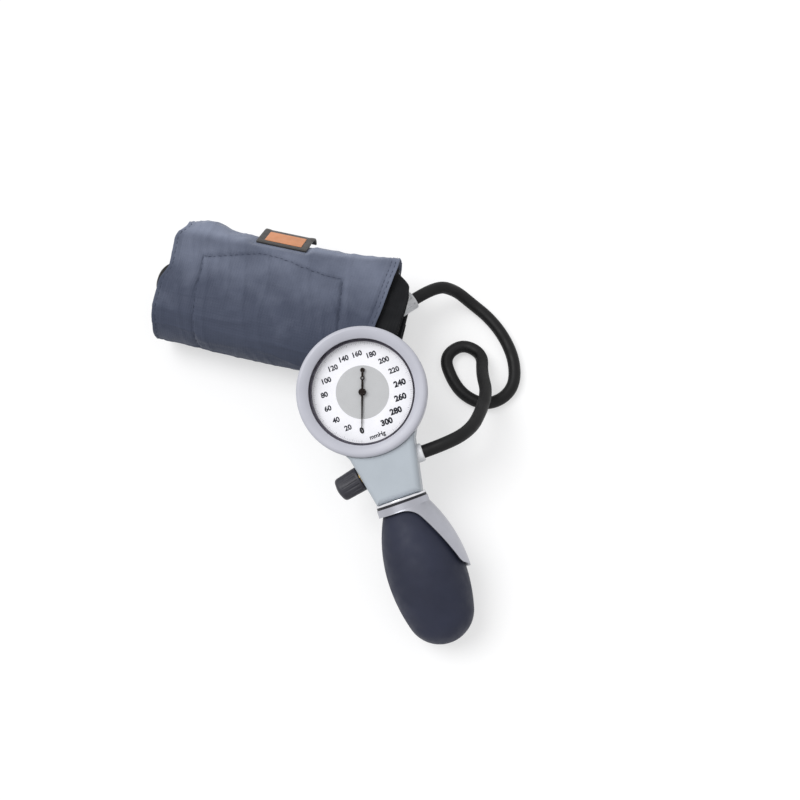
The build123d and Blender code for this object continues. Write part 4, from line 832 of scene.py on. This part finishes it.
def make_bulb():
    """The bulb: a hollow rubber skin with its parting lines and the bead at its mouth."""
    # Moulded natural rubber: slate blue, soft even sheen, paler where wax has bloomed
    shade = chosen("bulb")
    rubber = cured_rubber(
        "moulded_rubber_bulb", shade, tint(shade, 1.25), 0.56, grain_mm=1.2, depth_mm=0.005
    )
    profile = [(BULB_MOUTH, BULB_BORE), (BULB_MOUTH, BULB_NECK - 0.5)]
    profile += [(BULB_MOUTH + 0.2, BULB_NECK - 0.15), (BULB_MOUTH + 0.6, BULB_NECK)]
    place = BULB_NECK_END
    while place < BULB_TAIL - 1:
        profile.append((place, bulb_radius_at(place)))
        place += 1.2 if place < 132 else 0.6
    for short in (0.7, 0.4, 0.15, 0.04):
        profile.append((BULB_TAIL - short, bulb_radius_at(BULB_TAIL - short)))
    profile += [(BULB_TAIL, 0.02), (BULB_TAIL - BULB_WALL, 0.02)]
    for place in range(137, 81, -4):
        profile.append((place, max(bulb_radius_at(place) - BULB_WALL - 0.1, 0.5)))
    profile += [(BULB_BORE_END, BULB_BORE), (BULB_MOUTH, BULB_BORE)]
    # Closer together at the parting lines, in degrees
    beside = (-1.6, -0.8, -0.4, 0.4, 0.8, 1.6)
    angles = sorted(
        {radians(a) for a in range(0, 360, 4)}
        | {radians(side + away) for side in (0, 180) for away in beside}
    )
    points = []
    for place, radius in profile:
        for angle in angles:
            grown = radius + (parting_ridge(place, angle) if radius > 9 else 0.0)
            points.append(on_gauge(grown * cos(angle), -place, grown * sin(angle)))
    faces = grid_faces(len(profile), len(angles), True)
    bulb = make_mesh("bulb_skin", points, faces, rubber)
    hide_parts("bulb")


# Dial print

# In millimetres. Sizes of letters and ticks are a height or length and a stroke's weight
DIAL_TOP = 6.61
PRINT_THICK = 0.02
BOLD_LETTERS = (4.3, 0.22)
PLAIN_LETTERS = (3.8, 0.15)
UNIT_LETTERS = (3.3, 0.1)
UNIT_PLACE = (0.0, -24.4)
LONG_TICK = (1.3, 0.14)
SHORT_TICK = (0.8, 0.09)
TICK_CIRCLE = 26.8
FIELD_RING = (1.5, 14.4)
SCALE_STEPS = 15
SCALE_ZERO = radians(20)
SCALE_STEP = radians(320 / SCALE_STEPS)


def printed_text(words, size_mm, weight_mm, x, y):
    """Flat lettering on the dial as points and faces, upright in the gauge's plane."""
    curve = bpy.data.curves.new("lettering", "FONT")
    curve.body = words
    curve.size = size_mm * MM
    curve.align_x = "CENTER"
    curve.align_y = "CENTER"
    curve.offset = weight_mm * MM
    curve.extrude = PRINT_THICK / 2 * MM
    curve.resolution_u = 4
    holder = add_object("lettering", curve)
    mesh = bpy.data.meshes.new_from_object(
        holder.evaluated_get(bpy.context.evaluated_depsgraph_get())
    )
    points = [
        on_gauge(x + p.co.x / MM, y + p.co.y / MM, DIAL_TOP + p.co.z / MM) for p in mesh.vertices
    ]
    faces = [tuple(f.vertices) for f in mesh.polygons]
    bpy.data.objects.remove(holder)
    bpy.data.curves.remove(curve)
    bpy.data.meshes.remove(mesh)
    return points, faces


def printed_bar(angle, inner, outer, width):
    """One printed mark along a radius. The angle is clockwise from straight down."""
    away = Vector((-sin(angle), -cos(angle)))
    beside = Vector((away.y, -away.x)) * (width / 2)
    near, far = away * inner, away * outer
    flat = [near - beside, near + beside, far + beside, far - beside]
    points = [on_gauge(p.x, p.y, DIAL_TOP + level) for level in (0, PRINT_THICK) for p in flat]
    faces = [(4, 5, 6, 7), (3, 2, 1, 0), (0, 1, 5, 4), (1, 2, 6, 5), (2, 3, 7, 6), (3, 0, 4, 7)]
    return points, faces


def printed_disc(inner, outer):
    """A printed ring of colour round the dial's centre."""
    rim = 96
    ring = [2 * pi * i / rim for i in range(rim)]
    points = []
    for radius, level in ((inner, 0), (inner, PRINT_THICK), (outer, PRINT_THICK), (outer, 0)):
        points += [on_gauge(radius * cos(a), radius * sin(a), DIAL_TOP + level) for a in ring]
    faces = grid_faces(4, rim, True)
    faces += [(3 * rim + i, 3 * rim + (i + 1) % rim, (i + 1) % rim, i) for i in range(rim)]
    return points, faces


def print_dial():
    """The scale: numbers, ticks and the grey field in the middle."""
    place = bpy.context.scene.gauge_sizes.number_circle / MM
    bold, plain, ticks = [], [], []
    for i in range(SCALE_STEPS + 1):
        angle = SCALE_ZERO + i * SCALE_STEP
        strong = i == 0 or i >= 12
        letters = BOLD_LETTERS if strong else PLAIN_LETTERS
        words = printed_text(str(20 * i), *letters, -sin(angle) * place, -cos(angle) * place)
        (bold if strong else plain).append(words)
    bold.append(printed_text("mmHg", *UNIT_LETTERS, *UNIT_PLACE))
    for i in range(10 * SCALE_STEPS + 1):
        angle = SCALE_ZERO + i * SCALE_STEP / 10
        length, width = LONG_TICK if i % 5 == 0 else SHORT_TICK
        ticks.append(printed_bar(angle, TICK_CIRCLE - length, TICK_CIRCLE, width))
    # Screen inks: flat and matt, so the figures read at every angle
    inks = (
        ("dial_numbers_bold", bold, "screen_ink_dark", "#26272e"),
        ("dial_numbers", plain, "screen_ink_slate", "#2d2e36"),
        ("dial_ticks", ticks, "screen_ink_grey", "#a0a2aa"),
        ("dial_field", [printed_disc(*FIELD_RING)], "screen_ink_field", "#c4c5c7"),
    )
    for name, shapes, ink, code in inks:
        piece = make_mesh(name, *join_shapes(shapes), matt_coat(ink, colour(code)), flat=True)


# Label on the cuff

# Where the label's sewn edge is round the roll's back, and how far round it hugs the roll
LABEL_START = radians(30)
LABEL_HUG_END = radians(39)
# It is straight as far as this along it, and its droop has this radius, in millimetres
LABEL_STRAIGHT_END = 17.0
LABEL_DROOP = 9.0
# What the bright field leaves of the label at each side, in millimetres
LABEL_BORDER = 4.0


def label_path(lift, start, end, steps):
    """The label's side view from start to end millimetres along it, lifted off the roll.

    It lies round the roll from its sewn edge, stands straight off it, then droops.
    """
    radius = ROLL_RADIUS - ROLL_PITCH / 2
    turn = LABEL_START
    y = ROLL_BACK + radius * sin(turn)
    z = ROLL_RADIUS + ROLL_PITCH / 2 + radius * cos(turn)
    run, pace, found = 0.0, 0.05, []
    marks = [start + (end - start) * i / steps for i in range(steps + 1)]
    while marks:
        if run >= marks[0] - pace / 2:
            found.append((y + sin(turn) * lift, z + cos(turn) * lift, sin(turn), cos(turn)))
            marks.pop(0)
            continue
        if turn < LABEL_HUG_END:
            turn += pace / radius
        elif run > LABEL_STRAIGHT_END:
            turn += pace / LABEL_DROOP
        y += cos(turn) * pace
        z -= sin(turn) * pace
        run += pace
    return found


def label_slab(name, path, left, width, thick, rim, skin):
    """A thin moulded slab along a side view, with a raised rim round its face."""
    columns, last = 24, len(path) - 1
    pitch = hypot(path[1][0] - path[0][0], path[1][1] - path[0][1])
    points = []
    for level in (0.0, thick):
        for i, (y, z, ny, nz) in enumerate(path):
            for column in range(columns + 1):
                x = left + width * column / columns
                edge = min(x - left, left + width - x, i * pitch, (last - i) * pitch)
                rise = level + (rim * (1 - smooth(edge, 2.0, 3.2)) if level else 0.0)
                points.append(Vector((x, y + ny * rise, z + nz * rise)) * MM)
    rows, across = len(path), columns + 1
    size = rows * across
    faces = [tuple(reversed(f)) for f in grid_faces(rows, across)]
    faces += [tuple(c + size for c in f) for f in grid_faces(rows, across)]
    border = list(range(across))
    border += [row * across + across - 1 for row in range(1, rows)]
    border += [(rows - 1) * across + column for column in range(across - 2, -1, -1)]
    border += [row * across for row in range(rows - 2, 0, -1)]
    for here, ahead in zip(border, border[1:] + border[:1]):
        faces.append((here, ahead, ahead + size, here + size))
    piece = make_mesh(name, points, faces, skin)
    round_edges(piece, width_mm=0.2, least_angle=50)
    return piece


def make_label():
    """The label on the roll's back: its front edge is sewn down and its far edge stands off."""
    # Moulded vinyl: leathery grain and dull gloss, brown black round a bare bright field
    dark = moulded_plastic(
        "moulded_vinyl_dark", colour("#3b3836"), 0.5, grain_mm=1.1, depth_mm=0.05
    )
    bright = moulded_plastic(
        "moulded_vinyl_copper", chosen("label"), 0.45, grain_mm=1.4, depth_mm=0.07
    )
    side = label_path(lift=0.15, start=0.0, end=28.0, steps=28)
    plate = label_slab("label_plate", side, LABEL_LEFT, LABEL_WIDTH, thick=0.8, rim=0.35, skin=dark)
    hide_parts("label_patch")
    side = label_path(lift=0.85, start=3.5, end=16.0, steps=16)
    left, width = LABEL_LEFT + LABEL_BORDER, LABEL_WIDTH - 2 * LABEL_BORDER
    field = label_slab("label_field", side, left, width, thick=0.4, rim=0.0, skin=bright)
    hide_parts("label_stripe")


# Finishes of the parts that stay as they are


def finish_case():
    """Painted case and bezel, window, gasket, dial, collar and spoon."""
    # Silver grey paint: an even satin skin that turns light slowly round the edges
    set_finish(sprayed_paint("baked_paint_case", chosen("case")), ["rear_shell", "neck_cover"])
    set_finish(sprayed_paint("baked_paint_bezel", chosen("bezel")), ["bezel_ring"])
    # Clear window: almost unseen, but for a thin gloss
    set_finish(clear_polycarbonate(), ["lens"])
    # Moulded nitrile: the dull dark line between bright parts
    nitrile = cured_rubber("moulded_nitrile", colour("#504d58"), colour("#5b5863"), 0.6)
    set_finish(nitrile, ["lens_gasket"])
    seal = cured_rubber("moulded_nitrile_seal", colour("#212126"), colour("#2c2c31"), 0.5)
    set_finish(seal, ["valve_oring", "collar_seal"])
    # Enamelled aluminium: the whitest surface of the gauge
    set_finish(matt_coat("enamelled_aluminium_dial", chosen("dial")), ["dial_plate"])
    # Lacquered brass: a thin pointer, brown black and matt so that it never glares
    pointer = matt_coat("lacquered_brass_pointer", colour("#1f1917"))
    set_finish(pointer, ["pointer", "pointer_hub"])
    # Polished chrome plate: a thin bright line round the handle
    set_finish(worked_metal("polished_chrome_plate", colour("#e2e2e6"), 0.14), ["neck_collar"])
    # Brushed nickel plate: pale satin that spreads its highlight along the spoon
    nickel = worked_metal(
        "brushed_nickel_plate", chosen("spoon"), 0.36, line_mm=0.6, depth_mm=0.001
    )
    set_finish(nickel, ["spoon"])


def finish_fittings():
    """Valve knob, nipple, coupling, port and bladder fittings."""
    # Black ABS: a soft grey cast on its grained face
    abs_black = moulded_plastic(
        "moulded_abs_black", colour("#2e2e36"), 0.5, grain_mm=0.8, depth_mm=0.02
    )
    set_finish(abs_black, ["valve_knob"])
    # White acetal: waxy, with a low even gloss
    acetal = moulded_plastic(
        "moulded_acetal_white", colour("#f1f2f5"), 0.4, grain_mm=1.0, depth_mm=0.01
    )
    set_finish(acetal, ["hose_nipple", "male_coupling"])
    # Nickel plated brass: bright, with the lathe's fine lines
    plated = worked_metal("turned_nickel_plated_brass", colour("#b9babf"), 0.28)
    set_finish(plated, ["female_coupling"])
    # Moulded rubber of the port: dead black inside the roll
    port = cured_rubber("moulded_port_rubber", colour("#1d1d20"), colour("#2a2a2e"), 0.55)
    set_finish(port, ["bladder_port"])
    # Grey nylon: dry and slightly mottled
    nylon = moulded_plastic(
        "moulded_nylon_grey", colour("#5a5c61"), 0.5, grain_mm=0.6, depth_mm=0.02
    )
    set_finish(nylon, ["air_manifold", "valve_retainer", "bulb_coupler"])
    # Thin silicone discs: smooth and grey black
    discs = cured_rubber("moulded_valve_rubber", colour("#2a2a2a"), colour("#3a3a3a"), 0.5)
    set_finish(discs, ["outlet_disc", "inlet_disc"])
    # Hook tape: moulded nylon hooks of 1 mm pitch, rough and light-eating
    hooks = moulded_plastic(
        "moulded_hook_tape", colour("#1b1b1e"), 0.8, grain_mm=1.2, depth_mm=0.25
    )
    set_finish(hooks, ["hook_strip"])


def finish_movement():
    """Brass, bronze and steel of the movement, the valve and the screws."""
    # Stamped brass plates and wheels: warm yellow with a rolled, slightly dull face
    brass = worked_metal("stamped_brass", colour("#c9a95f"), 0.3)
    plates = ["movement_base_plate", "movement_top_plate", "movement_pillars"]
    wheels = ["sector_gear", "rocker_arm", "capsule_post", "hairspring_stud", "valve_body"]
    set_finish(brass, plates + wheels)
    # Rolled phosphor bronze: redder, and brighter along its thin edges
    bronze = worked_metal("rolled_phosphor_bronze", colour("#b98a5c"), 0.26)
    set_finish(bronze, ["capsule", "capsule_pipe", "hairspring"])
    # Turned steel: cool grey with crisp highlights
    steel = worked_metal("turned_steel", colour("#a9aaae"), 0.25)
    screws = ["plate_screws", "movement_screws", "shell_screws", "bleed_needle", "valve_stem"]
    set_finish(steel, ["pinion_arbor", "rocker_shaft", *screws])
    # Sintered bronze: grains of 0.4 mm that swallow the shine
    grains = worked_metal("sintered_bronze", colour("#94714a"), 0.6, line_mm=0.4, depth_mm=0.08)
    set_finish(grains, ["micro_filter"])


# Stage

# Where the photo was taken from: metres, millimetres of lens and sensor, and degrees
CAMERA_PLACE = (0.09369, -0.16626, 0.57632)
CAMERA_LENS = 46.58
CAMERA_SENSOR = 36.0
CAMERA_AZIMUTH = 14.87
CAMERA_ELEVATION = 70.43
CAMERA_ROLL = -1.61

# The light: the lamp's strength, spread in degrees and side, the room's and the floor's
LAMP_STRENGTH = 1.65
LAMP_SPREAD = 38
LAMP_SIDE = (-0.6, 0.05, 1.0)
ROOM_STRENGTH = 0.65
PAPER_STRENGTH = 1.0
FLOOR_SHADE = (0.48, 0.48, 0.485, 1.0)
FLOOR_GLOW = 0.54
FLOOR_REACH = 3.0
WHITE = (1.0, 1.0, 1.0, 1.0)


def camera_turn():
    """The camera's turn, from its azimuth, elevation and roll."""
    azimuth, elevation = radians(CAMERA_AZIMUTH), radians(CAMERA_ELEVATION)
    roll = radians(CAMERA_ROLL)
    back = Vector(
        (sin(azimuth) * cos(elevation), -cos(azimuth) * cos(elevation), sin(elevation))
    )
    side = Vector((0, 0, 1)).cross(back).normalized()
    top = back.cross(side)
    right = side * cos(roll) + top * sin(roll)
    up = top * cos(roll) - side * sin(roll)
    return Matrix((right, up, back)).transposed().to_4x4()


def seen_by_camera(tree):
    """1 for what the camera sees, straight or in metal and glass, and 0 for the light it gives."""
    ray = add_node(tree, "ShaderNodeLightPath").outputs
    mirrored = add_node(
        tree,
        "ShaderNodeMath",
        {"operation": "MAXIMUM"},
        {0: ray["Is Camera Ray"], 1: ray["Is Glossy Ray"]},
    )
    through = add_node(
        tree,
        "ShaderNodeMath",
        {"operation": "MAXIMUM"},
        {0: mirrored.outputs[0], 1: ray["Is Transmission Ray"]},
    )
    return through.outputs[0]


def lay_floor():
    """A plain white floor that keeps the shadows."""
    paint = bpy.data.materials.new("matt_white_floor")
    paint.use_nodes = True
    tree = paint.node_tree
    tree.nodes.clear()
    matt = add_node(tree, "ShaderNodeBsdfDiffuse", {"Color": FLOOR_SHADE})
    glow = add_node(tree, "ShaderNodeEmission", {"Color": WHITE, "Strength": FLOOR_GLOW})
    both = add_node(tree, "ShaderNodeAddShader", links={0: matt.outputs[0], 1: glow.outputs[0]})
    links = {0: seen_by_camera(tree), 1: matt.outputs[0], 2: both.outputs[0]}
    pick = add_node(tree, "ShaderNodeMixShader", links=links)
    add_node(tree, "ShaderNodeOutputMaterial", links={"Surface": pick.outputs[0]})
    mesh = bpy.data.meshes.new("floor")
    far = FLOOR_REACH
    corners = [(-far, -far, 0), (far, -far, 0), (far, far, 0), (-far, far, 0)]
    mesh.from_pydata(corners, [], [(0, 1, 2, 3)])
    mesh.materials.append(paint)
    add_object("floor", mesh)


def set_stage():
    """A pale floor, a plain world, one soft lamp and the camera."""
    scene = bpy.context.scene
    scene.view_settings.view_transform = "Standard"
    lay_floor()
    world = bpy.data.worlds.new("plain_room")
    scene.world = world
    world.use_nodes = True
    tree = world.node_tree
    tree.nodes.clear()
    room = add_node(tree, "ShaderNodeBackground", {"Color": WHITE, "Strength": ROOM_STRENGTH})
    paper = add_node(tree, "ShaderNodeBackground", {"Color": WHITE, "Strength": PAPER_STRENGTH})
    links = {0: seen_by_camera(tree), 1: room.outputs[0], 2: paper.outputs[0]}
    pick = add_node(tree, "ShaderNodeMixShader", links=links)
    add_node(tree, "ShaderNodeOutputWorld", links={"Surface": pick.outputs[0]})

    lamp_data = bpy.data.lights.new("window_light", "SUN")
    lamp_data.energy = LAMP_STRENGTH
    lamp_data.angle = radians(LAMP_SPREAD)
    lamp = add_object("window_light", lamp_data)
    lamp.rotation_euler = Vector(LAMP_SIDE).to_track_quat("Z", "Y").to_euler()

    camera_data = bpy.data.cameras.new("camera")
    camera_data.lens = CAMERA_LENS
    camera_data.sensor_width = CAMERA_SENSOR
    camera_data.clip_start = 0.01
    camera_data.clip_end = 20.0
    camera = add_object("camera", camera_data)
    camera.matrix_world = Matrix.Translation(CAMERA_PLACE) @ camera_turn()
    scene.camera = camera


# Settings, operators and panel


class GaugeSizes(bpy.types.PropertyGroup):
    """Sizes that a user may change."""

    hose_diameter: FloatProperty(
        name="Hose diameter", description="Outside of the hose", default=0.0072, unit="LENGTH"
    )
    cloth_step: FloatProperty(
        name="Cloth step",
        description="Spacing of the cloth's points",
        default=0.0009,
        unit="LENGTH",
    )
    number_circle: FloatProperty(
        name="Number circle",
        description="Radius of the circle that the dial's numbers stand on",
        default=0.0206,
        unit="LENGTH",
    )


def shade_property(name, description, code):
    """A colour setting with its default written as sRGB hex."""
    return FloatVectorProperty(
        name=name,
        description=description,
        subtype="COLOR",
        size=3,
        min=0,
        max=1,
        default=colour(code),
    )


class GaugeColours(bpy.types.PropertyGroup):
    """Colours that a user may change."""

    case: shade_property("Case", "Satin paint of the neck and case", "#b2bac2")
    bezel: shade_property("Bezel", "Satin paint of the bezel", "#bdbec8")
    dial: shade_property("Dial", "Enamel of the dial", "#fafaff")
    spoon: shade_property("Spoon", "Satin metal of the hand rest", "#adaeb6")
    bulb: shade_property("Bulb", "Rubber of the bulb", "#282b3a")
    hose: shade_property("Hose", "Rubber of the hose", "#111112")
    # The outer cloth runs from its colour in painted shade to its pale colour in painted light
    cloth: shade_property("Cloth", "Outer cloth where painted shade lies", "#464c5d")
    painted_light_cloth: shade_property("Cloth in painted light", "Outer cloth where painted light falls", "#838a9d")
    lining: shade_property("Lining", "Black inside of the cuff", "#0c0d10")
    label: shade_property("Label", "Bright field on the label", "#d68f63")


class GAUGE_OT_stage(bpy.types.Operator):
    """Make the floor, the lamp and the camera"""

    bl_idname = "gauge.stage"
    bl_label = "Stage"

    def execute(self, context):
        set_stage()
        return {"FINISHED"}


class GAUGE_OT_hoses(bpy.types.Operator):
    """Lay the hose and the cuff's tube"""

    bl_idname = "gauge.hoses"
    bl_label = "Hoses"

    def execute(self, context):
        lay_hoses()
        return {"FINISHED"}


class GAUGE_OT_cuff(bpy.types.Operator):
    """Roll the cuff's cloth, bladder and lining, and sew its seams"""

    bl_idname = "gauge.cuff"
    bl_label = "Cuff"

    def execute(self, context):
        roll_cuff()
        return {"FINISHED"}


class GAUGE_OT_label(bpy.types.Operator):
    """Make the label on the cuff"""

    bl_idname = "gauge.label"
    bl_label = "Label"

    def execute(self, context):
        make_label()
        return {"FINISHED"}


class GAUGE_OT_bulb(bpy.types.Operator):
    """Make the rubber bulb"""

    bl_idname = "gauge.bulb"
    bl_label = "Bulb"

    def execute(self, context):
        make_bulb()
        return {"FINISHED"}


class GAUGE_OT_dial(bpy.types.Operator):
    """Print the dial's scale"""

    bl_idname = "gauge.dial"
    bl_label = "Dial print"

    def execute(self, context):
        print_dial()
        return {"FINISHED"}


class GAUGE_OT_case(bpy.types.Operator):
    """Finish the case, the dial and the spoon"""

    bl_idname = "gauge.case"
    bl_label = "Case finish"

    def execute(self, context):
        finish_case()
        return {"FINISHED"}


class GAUGE_OT_fittings(bpy.types.Operator):
    """Finish the valve, the nipple and the couplings"""

    bl_idname = "gauge.fittings"
    bl_label = "Fittings finish"

    def execute(self, context):
        finish_fittings()
        return {"FINISHED"}


class GAUGE_OT_movement(bpy.types.Operator):
    """Finish the metal movement"""

    bl_idname = "gauge.movement"
    bl_label = "Movement finish"

    def execute(self, context):
        finish_movement()
        return {"FINISHED"}


OPERATORS = [
    GAUGE_OT_stage,
    GAUGE_OT_hoses,
    GAUGE_OT_cuff,
    GAUGE_OT_label,
    GAUGE_OT_bulb,
    GAUGE_OT_dial,
    GAUGE_OT_case,
    GAUGE_OT_fittings,
    GAUGE_OT_movement,
]


class GAUGE_PT_looks(bpy.types.Panel):
    """Lists the settings and the steps that dress the gauge"""

    bl_label = "Pressure gauge"
    bl_idname = "GAUGE_PT_looks"
    bl_space_type = "VIEW_3D"
    bl_region_type = "UI"
    bl_category = "Pressure gauge"

    def draw(self, context):
        for group in (context.scene.gauge_sizes, context.scene.gauge_colours):
            for name in group.bl_rna.properties.keys():
                if name not in ("rna_type", "name"):
                    self.layout.prop(group, name)
        for step in OPERATORS:
            self.layout.operator(step.bl_idname)


CLASSES = [GaugeSizes, GaugeColours, *OPERATORS, GAUGE_PT_looks]


def register():
    """Register the classes and hang the settings on the scene."""
    for kind in CLASSES:
        bpy.utils.register_class(kind)
    bpy.types.Scene.gauge_sizes = PointerProperty(type=GaugeSizes)
    bpy.types.Scene.gauge_colours = PointerProperty(type=GaugeColours)


def unregister():
    """Take the settings and classes away again."""
    del bpy.types.Scene.gauge_sizes
    del bpy.types.Scene.gauge_colours
    for kind in reversed(CLASSES):
        bpy.utils.unregister_class(kind)


def main():
    """Dress the whole part."""
    register()
    for step in OPERATORS:
        getattr(bpy.ops.gauge, step.bl_idname.split(".")[1])()


if __name__ == "__main__":
    main()
